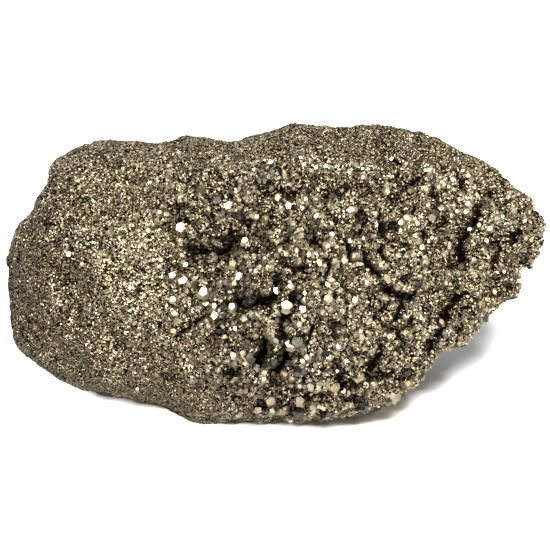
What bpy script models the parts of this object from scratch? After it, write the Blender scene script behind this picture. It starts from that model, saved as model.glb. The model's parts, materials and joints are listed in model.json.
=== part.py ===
"""Pyrite specimen: one mass of intergrown pyrite, rounded and fine grained at its left end, coarse and
craggy in the middle, with a ledge and a hooked nose at its right end.

Run it with: blender --background --python part.py
Metres, +Z up. The stone rests on the plane z = 0, with +X to the right and its best face towards -Y.

The mass is a loft of unlike rings. Its widest outline lies in a plane that leans back by LEAN, so rings
and relief are given on a front map, in millimetres: x to the right, h up the leaning plane, and depth d
behind it. The map narrows with distance, as for an eye EYE_MM in front of the plane.
"""

import math
import random

import bmesh
import bpy
import numpy as np
from mathutils import Matrix, Vector

MM = 0.001
NODE = "pyrite_mass"
LEAN = math.radians(18.0)
EYE_MM = 1000.0
MAP_MIDDLE_H_MM = 62.0
# This moves the finished stone's bounding box over the origin.
SHIFT_MM = (-1.5, -21.8, 0.0)

# The rings of the loft, from the left end to the right: where each crosses the outline at its top
# (x, h) and at its bottom (x, h), how far its middle lies behind the outline plane, and half its depth.
RINGS_MM = (
    (-109.5, 65.0, -109.5, 65.0, 22.0, 0.0),
    (-108.5, 73.5, -109.0, 54.0, 22.0, 13.0),
    (-103.5, 82.5, -108.5, 42.5, 22.0, 25.0),
    (-97.5, 93.0, -106.5, 33.0, 22.0, 35.0),
    (-92.5, 104.0, -99.0, 25.0, 21.5, 43.0),
    (-87.0, 112.5, -89.0, 18.5, 20.5, 49.0),
    (-75.5, 117.0, -78.0, 14.0, 18.5, 54.0),
    (-61.0, 117.0, -61.0, 10.8, 15.5, 57.0),
    (-47.0, 114.5, -47.0, 7.6, 11.5, 59.0),
    (-30.5, 118.3, -30.5, 0.5, 7.0, 61.0),
    (-18.0, 117.5, -15.0, 1.2, 3.5, 62.0),
    (-5.0, 121.3, 1.0, 1.5, 1.0, 62.0),
    (7.5, 125.0, 15.5, 1.4, 0.0, 62.0),
    (25.0, 123.5, 30.5, 3.6, 0.0, 61.0),
    (42.0, 124.5, 44.5, 6.6, 1.5, 58.0),
    (57.0, 122.0, 58.0, 15.5, 4.0, 54.0),
    (71.0, 116.5, 68.5, 28.7, 6.5, 49.0),
    (84.0, 111.0, 80.5, 34.2, 8.5, 43.0),
    (94.5, 103.5, 92.0, 47.5, 10.0, 35.0),
    (103.0, 96.0, 100.5, 54.0, 11.5, 26.0),
    (107.5, 88.5, 99.5, 64.5, 12.5, 17.0),
    (109.0, 82.0, 105.5, 71.0, 13.0, 9.0),
    (109.5, 77.5, 109.5, 77.5, 13.0, 0.0),
)
# Over 2, this power makes a ring boxier than an ellipse.
RING_POWER = 2.5
# Away from the outline a ring is blended this far with the rings this many rows to either side of it.
BLEND_SHARE = 0.6
BLEND_ROWS = 1.3
# The loft lies this far inside the finished outline, for the crystals that stand on it.
INSET_MM = 0.7

# Crevices on the front: half width, depth and the chain of (x, h) points each one follows.
CREVICES_MM = (
    (2.6, 5.0, ((-37.0, 73.0), (-30.5, 71.5), (-21.5, 72.0), (-17.5, 75.0), (-17.0, 79.0))),
    (2.6, 6.0, ((-15.5, 49.5), (-10.0, 50.5), (-1.5, 52.0), (1.0, 56.5), (1.0, 61.0))),
    (2.2, 5.0, ((8.0, 53.5), (7.0, 49.0), (4.5, 43.5))),
    (2.4, 6.0, ((-4.0, 35.0), (-4.5, 30.0), (-6.5, 22.5))),
    (2.8, 6.0, ((6.0, 30.0), (3.5, 25.0), (-0.5, 20.0), (1.5, 16.0))),
    (1.8, 3.5, ((4.0, 67.5), (7.5, 64.0), (13.0, 65.0))),
    (2.2, 4.0, ((22.0, 97.0), (29.0, 98.5), (37.5, 98.0), (43.0, 97.0))),
    (4.0, 7.5, ((85.0, 91.0), (82.5, 84.0), (77.5, 76.5), (75.0, 71.5), (78.0, 66.5))),
    (1.8, 5.0, ((101.0, 81.0), (98.0, 75.0))),
    (2.6, 6.0, ((78.0, 54.5), (73.5, 49.5), (70.5, 44.0), (68.0, 38.0), (64.5, 31.0))),
    (2.2, 4.0, ((45.0, 56.0), (50.5, 54.0), (57.0, 52.0))),
    (1.8, 3.5, ((-7.5, 99.5), (-2.5, 97.0), (0.0, 103.0))),
    (3.0, 2.6, ((-68.5, 37.0), (-64.5, 33.0), (-60.0, 29.0))),
    (1.6, 2.6, ((-46.5, 17.5), (-43.0, 20.0), (-38.0, 18.0))),
    (2.2, 4.5, ((-8.0, 8.0), (0.5, 8.5), (9.5, 9.5), (13.0, 8.5))),
    (2.0, 4.0, ((11.0, 11.5), (23.0, 11.0), (31.5, 10.5), (36.5, 8.5))),
    (1.8, 3.0, ((25.0, 15.0), (37.5, 17.5), (50.0, 22.0))),
    (2.2, 4.5, ((92.0, 72.5), (91.5, 67.5))),
    (2.2, 4.0, ((99.5, 58.5), (93.5, 55.0), (89.5, 53.0))),
    (3.0, 4.5, ((103.0, 64.5), (97.0, 63.5), (91.5, 60.0))),
    (1.8, 3.5, ((38.0, 84.0), (34.5, 90.0))),
    (1.8, 3.5, ((30.5, 76.5), (31.5, 71.5))),
    (2.0, 3.5, ((14.0, 78.0), (20.0, 74.0))),
)
CREVICE_SPREAD = 1.9
# Pits on the front: x, h, radius and depth.
PITS_MM = (
    (44.0, 80.0, 2.4, 4.0),
    (43.0, 73.0, 2.4, 4.5),
    (49.5, 102.5, 2.0, 4.0),
    (56.5, 100.0, 2.2, 3.5),
    (26.5, 20.0, 2.4, 4.5),
    (-54.0, 93.0, 2.0, 2.5),
    (-86.5, 60.0, 7.0, 2.0),
    (-83.5, 70.0, 2.4, 2.0),
    (-92.0, 82.5, 1.6, 2.0),
    (60.0, 76.0, 2.6, 3.0),
)
PIT_SPREAD = 1.6
# Knobs that stand out of the front: x, h, radius and height.
KNOBS_MM = (
    (-22.0, 79.5, 8.0, 3.2),
    (-6.0, 59.0, 9.0, 3.6),
    (29.0, 78.0, 7.0, 2.2),
    (66.0, 84.0, 16.0, 5.5),
    (64.0, 66.0, 13.0, 4.5),
    (-30.0, 89.0, 9.0, 2.0),
    (-59.0, 85.0, 12.0, 2.2),
    (90.0, 87.0, 8.0, 1.6),
    (0.5, 31.0, 5.0, 2.4),
    (50.0, 66.0, 8.0, 2.6),
    (59.0, 42.0, 12.0, 2.6),
    (-36.0, 22.0, 14.0, 2.2),
)
KNOB_SPREAD = 1.2
# Hollows and humps of the other sides: a point on the unmoved stone (x, y, z), radius and height.
OTHER_SIDES_MM = (
    (-60.0, 75.0, 60.0, 22.0, -5.0),
    (-20.0, 84.0, 40.0, 18.0, 5.0),
    (25.0, 78.0, 66.0, 20.0, -6.0),
    (58.0, 66.0, 44.0, 16.0, 5.0),
    (-95.0, 60.0, 50.0, 18.0, 3.5),
    (-45.0, 50.0, 108.0, 22.0, 3.0),
    (20.0, 55.0, 106.0, 20.0, -4.0),
    (66.0, 40.0, 96.0, 16.0, 3.0),
    (88.0, 36.0, 52.0, 14.0, -4.0),
)
HUMP_SPREAD = 1.6

# Lumps all over: lattice size, height, and the share of it kept at the outline, for each layer of noise.
LUMPS_MM = ((44.0, 4.2, 0.0), (21.0, 2.4, 0.15), (9.0, 1.1, 0.8))
# Clustered knobs: size of one knob, its height in the coarse part, and the shares of that height kept in
# the fine-grained parts and at the outline.
CLUSTER_MM = 13.0
CLUSTER_HEIGHT_MM = 3.4
CLUSTER_WHERE_FINE = 0.4
CLUSTER_AT_OUTLINE = 0.35
CLUSTER_MEAN = 0.6
# The coarse part lies to the right of a slanting line on the front map.
COARSE_FROM_X_MM = -20.0
COARSE_SLANT = 0.34
COARSE_FADE_MM = 14.0
# The fine-grained band along the top starts at this height on the map.
TOP_BAND_H_MM = (104.0, 112.0)
# The mass is built this far down and then cut off flat at the floor.
BELOW_FLOOR_MM = 0.6
FLOOR_BLOCK_MM = (400.0, 400.0, 20.0)

POINTS_ROUND = 200
RINGS_BUILT = 180
BODY_TRIANGLES = 5500
STEP = 1e-3

CRYSTALS = 112
CRYSTAL_TRIES = 6000
CRYSTAL_RADIUS_MM = (1.7, 3.0)
CRYSTAL_SINK = 0.2
CRYSTAL_GAP = 1.12
CRYSTAL_FLOOR_MM = 7.0
CUBE_SHARE = 0.3
# Pyrite's usual form has edges this much longer than its inner cube's.
PYRITOHEDRON_ROOF = 0.5
SEED = 11

PYRITE_COLOUR = (0.46, 0.39, 0.26, 1.0)
PYRITE_ROUGHNESS = 0.34


def smooth_step(low, high, values):
    """From 0 at low to 1 at high, along an S-curve."""
    share = np.clip((values - low) / (high - low), 0.0, 1.0)
    return share * share * (3.0 - 2.0 * share)


def hashed(cells, salt):
    """A steady number from 0 to 1 for each lattice cell, mixed from its three whole numbers."""
    whole = cells.astype(np.int64)
    mixed = whole[..., 0] * 73856093 ^ whole[..., 1] * 19349663 ^ whole[..., 2] * 83492791
    mixed = (mixed ^ salt * 668265263) & 0x7FFFFFFF
    mixed = ((mixed ^ (mixed >> 13)) * 1274126177) & 0x7FFFFFFF
    return ((mixed ^ (mixed >> 16)) & 0xFFFFFF) / 0xFFFFFF


def smooth_noise(points, size, salt):
    """Random heights from -1 to 1: numbers on a lattice of that size, blended along S-curves."""
    places = points / size
    low = np.floor(places)
    share = smooth_step(0.0, 1.0, places - low)
    total = np.zeros(points.shape[:-1])
    for corner in np.ndindex(2, 2, 2):
        weight = np.prod(np.where(corner, share, 1.0 - share), axis=-1)
        total += weight * hashed(low + corner, salt)
    return 2.0 * total - 1.0


def clusters(points, size, salt):
    """Domes packed side by side: 1 at each random lattice point, falling to 0 where two domes meet."""
    places = points / size
    low = np.floor(places)
    nearest = np.full(points.shape[:-1], 9.0)
    second = nearest.copy()
    for step in np.ndindex(3, 3, 3):
        cell = low + np.array(step) - 1
        seed = cell + np.stack([hashed(cell, salt + axis) for axis in range(3)], axis=-1)
        gap = np.linalg.norm(places - seed, axis=-1)
        second = np.where(gap < nearest, nearest, np.minimum(second, gap))
        nearest = np.minimum(nearest, gap)
    return smooth_step(0.0, 0.55, second - nearest)


def ring_values(place):
    """The ring table read at any place along it, by a smooth curve through its rows (Catmull-Rom).

    Past each end the table goes on with its own rows turned over, which makes both ends round.
    """
    rows = np.array(RINGS_MM)
    turn = np.array((1.0, 1.0, 1.0, 1.0, 1.0, -1.0))
    turned = rows[[1, -2]][:, [2, 3, 0, 1, 4, 5]] * turn
    table = np.vstack([turned[:1], rows, turned[1:]])
    row = np.clip(np.floor(place).astype(int), 0, len(rows) - 2)
    share = (place - row)[..., None]
    a, b, c, d = (table[row + step] for step in range(4))
    bend = (2 * a - 5 * b + 4 * c - d) * share**2 + (3 * b - a - 3 * c + d) * share**3
    return 0.5 * (2 * b + (c - a) * share + bend)


def loft(place, angle):
    """The smooth body on the front map: rings that are superellipses through their top and bottom."""
    up, back = np.cos(angle), np.sin(angle)
    last = len(RINGS_MM) - 1
    blend = BLEND_SHARE * smooth_step(0.3, 0.9, np.abs(back))
    blend = (blend * smooth_step(0.0, 2.0, place) * smooth_step(0.0, 2.0, last - place))[..., None]
    before = ring_values(np.clip(place - BLEND_ROWS, 0.0, last))
    after = ring_values(np.clip(place + BLEND_ROWS, 0.0, last))
    values = (1.0 - blend) * ring_values(place) + blend * (before + after) / 2
    x_top, h_top, x_low, h_low, behind, half = np.moveaxis(values, -1, 0)
    boxy = (np.abs(up) ** RING_POWER + np.abs(back) ** RING_POWER) ** (-1.0 / RING_POWER)
    up = up * boxy
    x = (x_top + x_low) / 2 + (x_top - x_low) / 2 * up
    h = (h_top + h_low) / 2 + (h_top - h_low) / 2 * up
    return x, h, behind + half * back * boxy


def to_stone(x, h, d):
    """Front-map points in space: spread with distance from the eye, then leaned back."""
    spread = (EYE_MM + d) / EYE_MM
    up = MAP_MIDDLE_H_MM + (h - MAP_MIDDLE_H_MM) * spread
    y = up * math.sin(LEAN) + d * math.cos(LEAN)
    z = up * math.cos(LEAN) - d * math.sin(LEAN)
    return np.stack([x * spread, y, z], axis=-1)


def outward(place, angle):
    """The smooth body's normal: the cross product of its slopes along and round."""
    along = to_stone(*loft(place + STEP, angle)) - to_stone(*loft(place - STEP, angle))
    round_it = to_stone(*loft(place, angle + STEP)) - to_stone(*loft(place, angle - STEP))
    normal = np.cross(along, round_it)
    return normal / np.maximum(np.linalg.norm(normal, axis=-1, keepdims=True), 1e-12)


def distance_to_chain(x, h, chain):
    """How far each map point is from a chain of straight lines."""
    nearest = np.full(x.shape, 1e6)
    for (x0, h0), (x1, h1) in zip(chain[:-1], chain[1:]):
        along_x, along_h = x1 - x0, h1 - h0
        share = ((x - x0) * along_x + (h - h0) * along_h) / (along_x**2 + along_h**2)
        share = np.clip(share, 0.0, 1.0)
        gap = np.hypot(x - x0 - share * along_x, h - h0 - share * along_h)
        nearest = np.minimum(nearest, gap)
    return nearest


def dome(gap, radius):
    """1 in the middle, falling along an S-curve to 0 at the radius."""
    return 1.0 - smooth_step(0.0, radius, gap)


def coarseness(x, h):
    """1 in the coarse part, and 0 in the fine-grained left part and the band along the top."""
    right = smooth_step(-COARSE_FADE_MM, COARSE_FADE_MM, x - COARSE_FROM_X_MM + COARSE_SLANT * h)
    return right * (1.0 - smooth_step(*TOP_BAND_H_MM, h))


def relief(x, h, angle, points):
    """How far the finished surface stands out of the smooth body, in millimetres."""
    facing = smooth_step(-0.1, 0.35, -np.sin(angle))
    off_outline = smooth_step(0.1, 0.6, np.abs(np.sin(angle)))
    raised = np.full(x.shape, -INSET_MM)
    for half_width, depth, chain in CREVICES_MM:
        raised -= facing * depth * dome(distance_to_chain(x, h, chain), CREVICE_SPREAD * half_width)
    for pit_x, pit_h, radius, depth in PITS_MM:
        raised -= facing * depth * dome(np.hypot(x - pit_x, h - pit_h), PIT_SPREAD * radius)
    for knob_x, knob_h, radius, height in KNOBS_MM:
        raised += facing * height * dome(np.hypot(x - knob_x, h - knob_h), KNOB_SPREAD * radius)
    for place_x, place_y, place_z, radius, height in OTHER_SIDES_MM:
        gap = np.linalg.norm(points - (place_x, place_y, place_z), axis=-1)
        raised += (1.0 - facing) * height * dome(gap, HUMP_SPREAD * radius)
    for salt, (size, height, kept) in enumerate(LUMPS_MM):
        raised += (kept + (1.0 - kept) * off_outline) * height * smooth_noise(points, size, salt)
    clustered = CLUSTER_HEIGHT_MM * (clusters(points, CLUSTER_MM, 20) - CLUSTER_MEAN)
    clustered *= CLUSTER_WHERE_FINE + (1.0 - CLUSTER_WHERE_FINE) * coarseness(x, h)
    raised += (CLUSTER_AT_OUTLINE + (1.0 - CLUSTER_AT_OUTLINE) * off_outline) * clustered
    return raised


def stone_surface(place, angle):
    """The finished surface, the loft moved out by its relief, and its normal before the relief."""
    x, h, d = loft(place, angle)
    points = to_stone(x, h, d)
    normal = outward(place, angle)
    points = points + normal * relief(x, h, angle, points)[..., None]
    points[..., 2] = np.maximum(points[..., 2], -BELOW_FLOOR_MM)
    return points + SHIFT_MM, normal


def pyrite_material():
    """Brassy metal."""
    material = bpy.data.materials.new("pyrite")
    material.use_nodes = True
    shader = material.node_tree.nodes["Principled BSDF"]
    shader.inputs["Base Color"].default_value = PYRITE_COLOUR
    shader.inputs["Metallic"].default_value = 1.0
    shader.inputs["Roughness"].default_value = PYRITE_ROUGHNESS
    return material


def add_mass(material):
    """The rounded mass: a sphere whose rings and points are carried onto the stone's surface."""
    bpy.ops.mesh.primitive_uv_sphere_add(segments=POINTS_ROUND, ring_count=RINGS_BUILT, radius=1.0)
    mass = bpy.context.object
    mass.name = NODE
    mesh = mass.data
    mesh.name = NODE
    sphere = np.empty(len(mesh.vertices) * 3)
    mesh.vertices.foreach_get("co", sphere)
    sphere = sphere.reshape(-1, 3)
    place = np.arccos(np.clip(sphere[:, 2], -1.0, 1.0)) / math.pi * (len(RINGS_MM) - 1)
    angle = np.arctan2(sphere[:, 1], sphere[:, 0])
    points, _ = stone_surface(place, angle)
    mesh.vertices.foreach_set("co", (points * MM).ravel())
    mesh.update()
    mesh.materials.append(material)
    thin = mass.modifiers.new("fewer_faces", "DECIMATE")
    thin.ratio = BODY_TRIANGLES / (2 * POINTS_ROUND * (RINGS_BUILT - 1))
    return mass


def pyritohedron_corners():
    """The 20 corners of a pyritohedron of radius 1: a cube's eight, and two over each cube face."""
    ridge, reach = 1.0 - PYRITOHEDRON_ROOF**2, 1.0 + PYRITOHEDRON_ROOF
    corners = [(a, b, c) for a in (-1, 1) for b in (-1, 1) for c in (-1, 1)]
    for a in (-1, 1):
        for b in (-1, 1):
            corners.append((0.0, a * reach, b * ridge))
            corners.append((a * ridge, 0.0, b * reach))
            corners.append((a * reach, b * ridge, 0.0))
    return [Vector(corner) / math.sqrt(3.0) for corner in corners]


def random_turn(draw):
    """A rotation drawn evenly from all of them."""
    axis = Vector((draw.gauss(0, 1), draw.gauss(0, 1), draw.gauss(0, 1)))
    return Matrix.Rotation(draw.uniform(0.0, 2.0 * math.pi), 4, axis)


def add_crystal(mesh, middle, radius, turn, is_cube):
    """One crystal, a cube or a pyritohedron, added to the crystals' mesh."""
    place = Matrix.Translation(middle) @ turn @ Matrix.Scale(radius, 4)
    if is_cube:
        bmesh.ops.create_cube(mesh, size=2.0 / math.sqrt(3.0), matrix=place)
        return
    corners = [mesh.verts.new(place @ corner) for corner in pyritohedron_corners()]
    hull = bmesh.ops.convex_hull(mesh, input=corners)
    faces = [face for face in hull["geom"] if isinstance(face, bmesh.types.BMFace)]
    edges = list({edge for face in faces for edge in face.edges})
    bmesh.ops.dissolve_limit(mesh, angle_limit=math.radians(1.0), verts=corners, edges=edges)


def crystal_sites():
    """Where the big crystals stand: points of the coarse front and back, kept clear of each other."""
    draw = random.Random(SEED)
    sites = []
    for _ in range(CRYSTAL_TRIES):
        if len(sites) == CRYSTALS:
            break
        place = np.array(draw.uniform(1.0, len(RINGS_MM) - 2.0))
        angle = np.array(draw.uniform(-math.pi, math.pi))
        x, h, _ = loft(place, angle)
        radius = draw.uniform(*CRYSTAL_RADIUS_MM)
        points, normal = stone_surface(place, angle)
        wanted = coarseness(x, h) * smooth_step(0.1, 0.5, abs(math.sin(angle)))
        if draw.random() > wanted or points[2] < CRYSTAL_FLOOR_MM:
            continue
        middle = points - normal * radius * CRYSTAL_SINK
        clear = [np.linalg.norm(middle - other) > CRYSTAL_GAP * (radius + size) for other, size in sites]
        if all(clear):
            sites.append((middle, radius))
    return sites


def add_crystals():
    """All big crystals in one helper mesh, which the mass is joined with."""
    draw = random.Random(SEED + 1)
    made = bmesh.new()
    for middle, radius in crystal_sites():
        turn = random_turn(draw)
        is_cube = draw.random() < CUBE_SHARE
        add_crystal(made, Vector(middle) * MM, radius * MM, turn, is_cube)
    bmesh.ops.recalc_face_normals(made, faces=made.faces)
    mesh = bpy.data.meshes.new("big_crystals")
    made.to_mesh(mesh)
    made.free()
    crystals = bpy.data.objects.new("big_crystals", mesh)
    crystals.hide_render = True
    crystals.display_type = "WIRE"
    return crystals


def add_floor():
    """The block under z = 0 that cuts the mass off flat where it rests."""
    bpy.ops.mesh.primitive_cube_add(size=1.0)
    floor = bpy.context.object
    floor.name = "floor_cutter"
    floor.data.transform(Matrix.Diagonal((*FLOOR_BLOCK_MM, 1.0)) @ Matrix.Translation((0.0, 0.0, -0.5)))
    floor.data.transform(Matrix.Scale(MM, 4))
    floor.hide_render = True
    floor.display_type = "WIRE"
    for holder in list(floor.users_collection):
        holder.objects.unlink(floor)
    return floor


def main():
    """Clears the scene and builds the specimen."""
    for old in list(bpy.data.objects):
        bpy.data.objects.remove(old)
    specimen = bpy.data.collections.new("pyrite_specimen")
    helpers = bpy.data.collections.new("helpers")
    bpy.context.scene.collection.children.link(specimen)
    bpy.context.scene.collection.children.link(helpers)
    mass = add_mass(pyrite_material())
    for holder in list(mass.users_collection):
        holder.objects.unlink(mass)
    specimen.objects.link(mass)
    crystals = add_crystals()
    helpers.objects.link(crystals)
    grown = mass.modifiers.new("crystals", "BOOLEAN")
    grown.operation = "UNION"
    grown.object = crystals
    floor = add_floor()
    helpers.objects.link(floor)
    flat = mass.modifiers.new("flat_underneath", "BOOLEAN")
    flat.operation = "DIFFERENCE"
    flat.object = floor


if __name__ == "__main__":
    main()
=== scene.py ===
"""Pyrite specimen, dressed: a craggy mass covered with grains and crystals, on a pale studio floor.

The mass is a surface of two parameters, a place along the stone and an angle round it. Grains and
crystals are scattered over that surface and joined into a few meshes. Sizes are in millimetres until
they go into a mesh, and the stone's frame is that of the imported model: +Z up, its best face towards -Y.
"""

import functools
import json
import math
import types

import bpy
import numpy as np
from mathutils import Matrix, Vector

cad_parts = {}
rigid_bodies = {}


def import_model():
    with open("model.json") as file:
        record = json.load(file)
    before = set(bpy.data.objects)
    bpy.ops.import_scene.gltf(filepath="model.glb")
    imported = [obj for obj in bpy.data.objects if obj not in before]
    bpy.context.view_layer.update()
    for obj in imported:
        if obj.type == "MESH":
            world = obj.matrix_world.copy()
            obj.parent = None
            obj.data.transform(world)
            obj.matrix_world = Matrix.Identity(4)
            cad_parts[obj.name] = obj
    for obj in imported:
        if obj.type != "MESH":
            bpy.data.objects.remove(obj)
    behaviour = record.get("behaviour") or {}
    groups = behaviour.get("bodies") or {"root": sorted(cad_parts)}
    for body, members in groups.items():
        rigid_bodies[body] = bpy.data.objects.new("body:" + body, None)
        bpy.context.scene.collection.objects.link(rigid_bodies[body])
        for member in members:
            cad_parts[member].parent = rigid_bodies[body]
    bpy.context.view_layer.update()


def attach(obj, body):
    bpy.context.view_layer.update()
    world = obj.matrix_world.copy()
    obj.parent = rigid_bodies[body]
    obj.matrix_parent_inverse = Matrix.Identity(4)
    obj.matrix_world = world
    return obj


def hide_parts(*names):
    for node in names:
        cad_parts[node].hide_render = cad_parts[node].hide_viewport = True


bl_info = {
    "name": "Pyrite Specimen",
    "version": (1, 0, 0),
    "blender": (4, 5, 0),
    "location": "View3D > Sidebar > Pyrite",
    "description": "Covers a pyrite mass with grains and crystals, and lights it",
    "category": "Add Mesh",
}

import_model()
NODE = "pyrite_mass"
BODY = "root"
MM = 0.001

# The stone's shape. It repeats the solid's values, so that the surface lies where the solid does.
LEAN = math.radians(18.0)
EYE_MM = 1000.0
MAP_MIDDLE_H_MM = 62.0
SHIFT_MM = (-1.5, -21.8, 0.0)
# Rings from the left end to the right: where each crosses the outline at its top (x, h) and at its
# bottom (x, h), how far its middle lies behind the outline plane, and half its depth.
RINGS_MM = (
    (-109.5, 65.0, -109.5, 65.0, 22.0, 0.0),
    (-108.5, 73.5, -109.0, 54.0, 22.0, 13.0),
    (-103.5, 82.5, -108.5, 42.5, 22.0, 25.0),
    (-97.5, 93.0, -106.5, 33.0, 22.0, 35.0),
    (-92.5, 104.0, -99.0, 25.0, 21.5, 43.0),
    (-87.0, 112.5, -89.0, 18.5, 20.5, 49.0),
    (-75.5, 117.0, -78.0, 14.0, 18.5, 54.0),
    (-61.0, 117.0, -61.0, 10.8, 15.5, 57.0),
    (-47.0, 114.5, -47.0, 7.6, 11.5, 59.0),
    (-30.5, 118.3, -30.5, 0.5, 7.0, 61.0),
    (-18.0, 117.5, -15.0, 1.2, 3.5, 62.0),
    (-5.0, 121.3, 1.0, 1.5, 1.0, 62.0),
    (7.5, 125.0, 15.5, 1.4, 0.0, 62.0),
    (25.0, 123.5, 30.5, 3.6, 0.0, 61.0),
    (42.0, 124.5, 44.5, 6.6, 1.5, 58.0),
    (57.0, 122.0, 58.0, 15.5, 4.0, 54.0),
    (71.0, 116.5, 68.5, 28.7, 6.5, 49.0),
    (84.0, 111.0, 80.5, 34.2, 8.5, 43.0),
    (94.5, 103.5, 92.0, 47.5, 10.0, 35.0),
    (103.0, 96.0, 100.5, 54.0, 11.5, 26.0),
    (107.5, 88.5, 99.5, 64.5, 12.5, 17.0),
    (109.0, 82.0, 105.5, 71.0, 13.0, 9.0),
    (109.5, 77.5, 109.5, 77.5, 13.0, 0.0),
)
LAST_ROW = len(RINGS_MM) - 1
# Over 2, this power makes a ring boxier than an ellipse.
RING_POWER = 2.5
# Away from the outline a ring is blended this far with the rings this many rows to either side of it.
BLEND_SHARE = 0.6
BLEND_ROWS = 1.3
BLEND_FADE = (0.3, 0.9)
BLEND_END_ROWS = 2.0
# How far the relief starts inside the smooth body.
INSET_MM = 0.7
# Crevices on the front: half width, depth and the chain of (x, h) points each one follows.
CREVICES_MM = (
    (2.6, 5.0, ((-37.0, 73.0), (-30.5, 71.5), (-21.5, 72.0), (-17.5, 75.0), (-17.0, 79.0))),
    (2.6, 6.0, ((-15.5, 49.5), (-10.0, 50.5), (-1.5, 52.0), (1.0, 56.5), (1.0, 61.0))),
    (2.2, 5.0, ((8.0, 53.5), (7.0, 49.0), (4.5, 43.5))),
    (2.4, 6.0, ((-4.0, 35.0), (-4.5, 30.0), (-6.5, 22.5))),
    (2.8, 6.0, ((6.0, 30.0), (3.5, 25.0), (-0.5, 20.0), (1.5, 16.0))),
    (1.8, 3.5, ((4.0, 67.5), (7.5, 64.0), (13.0, 65.0))),
    (2.2, 4.0, ((22.0, 97.0), (29.0, 98.5), (37.5, 98.0), (43.0, 97.0))),
    (4.0, 7.5, ((85.0, 91.0), (82.5, 84.0), (77.5, 76.5), (75.0, 71.5), (78.0, 66.5))),
    (1.8, 5.0, ((101.0, 81.0), (98.0, 75.0))),
    (2.6, 6.0, ((78.0, 54.5), (73.5, 49.5), (70.5, 44.0), (68.0, 38.0), (64.5, 31.0))),
    (2.2, 4.0, ((45.0, 56.0), (50.5, 54.0), (57.0, 52.0))),
    (1.8, 3.5, ((-7.5, 99.5), (-2.5, 97.0), (0.0, 103.0))),
    (3.0, 2.6, ((-68.5, 37.0), (-64.5, 33.0), (-60.0, 29.0))),
    (1.6, 2.6, ((-46.5, 17.5), (-43.0, 20.0), (-38.0, 18.0))),
    (2.2, 4.5, ((-8.0, 8.0), (0.5, 8.5), (9.5, 9.5), (13.0, 8.5))),
    (2.0, 4.0, ((11.0, 11.5), (23.0, 11.0), (31.5, 10.5), (36.5, 8.5))),
    (1.8, 3.0, ((25.0, 15.0), (37.5, 17.5), (50.0, 22.0))),
    (2.2, 4.5, ((92.0, 72.5), (91.5, 67.5))),
    (2.2, 4.0, ((99.5, 58.5), (93.5, 55.0), (89.5, 53.0))),
    (3.0, 4.5, ((103.0, 64.5), (97.0, 63.5), (91.5, 60.0))),
    (1.8, 3.5, ((38.0, 84.0), (34.5, 90.0))),
    (1.8, 3.5, ((30.5, 76.5), (31.5, 71.5))),
    (2.0, 3.5, ((14.0, 78.0), (20.0, 74.0))),
)
# How many half widths out a crevice ends. Pits, knobs and humps have the same in radii.
CREVICE_SPREAD = 1.9
# Pits on the front: x, h, radius and depth.
PITS_MM = (
    (44.0, 80.0, 2.4, 4.0),
    (43.0, 73.0, 2.4, 4.5),
    (49.5, 102.5, 2.0, 4.0),
    (56.5, 100.0, 2.2, 3.5),
    (26.5, 20.0, 2.4, 4.5),
    (-54.0, 93.0, 2.0, 2.5),
    (-86.5, 60.0, 7.0, 2.0),
    (-83.5, 70.0, 2.4, 2.0),
    (-92.0, 82.5, 1.6, 2.0),
    (60.0, 76.0, 2.6, 3.0),
)
PIT_SPREAD = 1.6
# Knobs that stand out of the front: x, h, radius and height.
KNOBS_MM = (
    (-22.0, 79.5, 8.0, 3.2),
    (-6.0, 59.0, 9.0, 3.6),
    (29.0, 78.0, 7.0, 2.2),
    (66.0, 84.0, 16.0, 5.5),
    (64.0, 66.0, 13.0, 4.5),
    (-30.0, 89.0, 9.0, 2.0),
    (-59.0, 85.0, 12.0, 2.2),
    (90.0, 87.0, 8.0, 1.6),
    (0.5, 31.0, 5.0, 2.4),
    (50.0, 66.0, 8.0, 2.6),
    (59.0, 42.0, 12.0, 2.6),
    (-36.0, 22.0, 14.0, 2.2),
)
KNOB_SPREAD = 1.2
# Hollows and humps of the other sides: a point on the unmoved stone (x, y, z), radius and height.
OTHER_SIDES_MM = (
    (-60.0, 75.0, 60.0, 22.0, -5.0),
    (-20.0, 84.0, 40.0, 18.0, 5.0),
    (25.0, 78.0, 66.0, 20.0, -6.0),
    (58.0, 66.0, 44.0, 16.0, 5.0),
    (-95.0, 60.0, 50.0, 18.0, 3.5),
    (-45.0, 50.0, 108.0, 22.0, 3.0),
    (20.0, 55.0, 106.0, 20.0, -4.0),
    (66.0, 40.0, 96.0, 16.0, 3.0),
    (88.0, 36.0, 52.0, 14.0, -4.0),
)
HUMP_SPREAD = 1.6
# Lumps all over: size, height, and the share of it that stays along the outline.
LUMPS_MM = ((44.0, 4.2, 0.0), (21.0, 2.4, 0.15), (9.0, 1.1, 0.8))
# Clusters of grains: size, height, the shares of it where fine and along the outline, and a mean dome.
CLUSTER_MM = 13.0
CLUSTER_HEIGHT_MM = 3.4
CLUSTER_WHERE_FINE = 0.4
CLUSTER_AT_OUTLINE = 0.35
CLUSTER_MEAN = 0.6
# The coarse part: the x where it starts at the bottom, how that line leans, how far it fades to either
# side, and the heights where the fine band along the top takes over.
COARSE_FROM_X_MM = -20.0
COARSE_SLANT = 0.34
COARSE_FADE_MM = 14.0
TOP_BAND_H_MM = (104.0, 112.0)
# Where the front starts and where the outline ends, by how far a ring's direction turns forwards, or
# forwards or back.
FRONT_FADE = (-0.1, 0.35)
OUTLINE_FADE = (0.1, 0.6)
# The step of place and angle over which slopes are taken.
STEP = 1e-3

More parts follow.
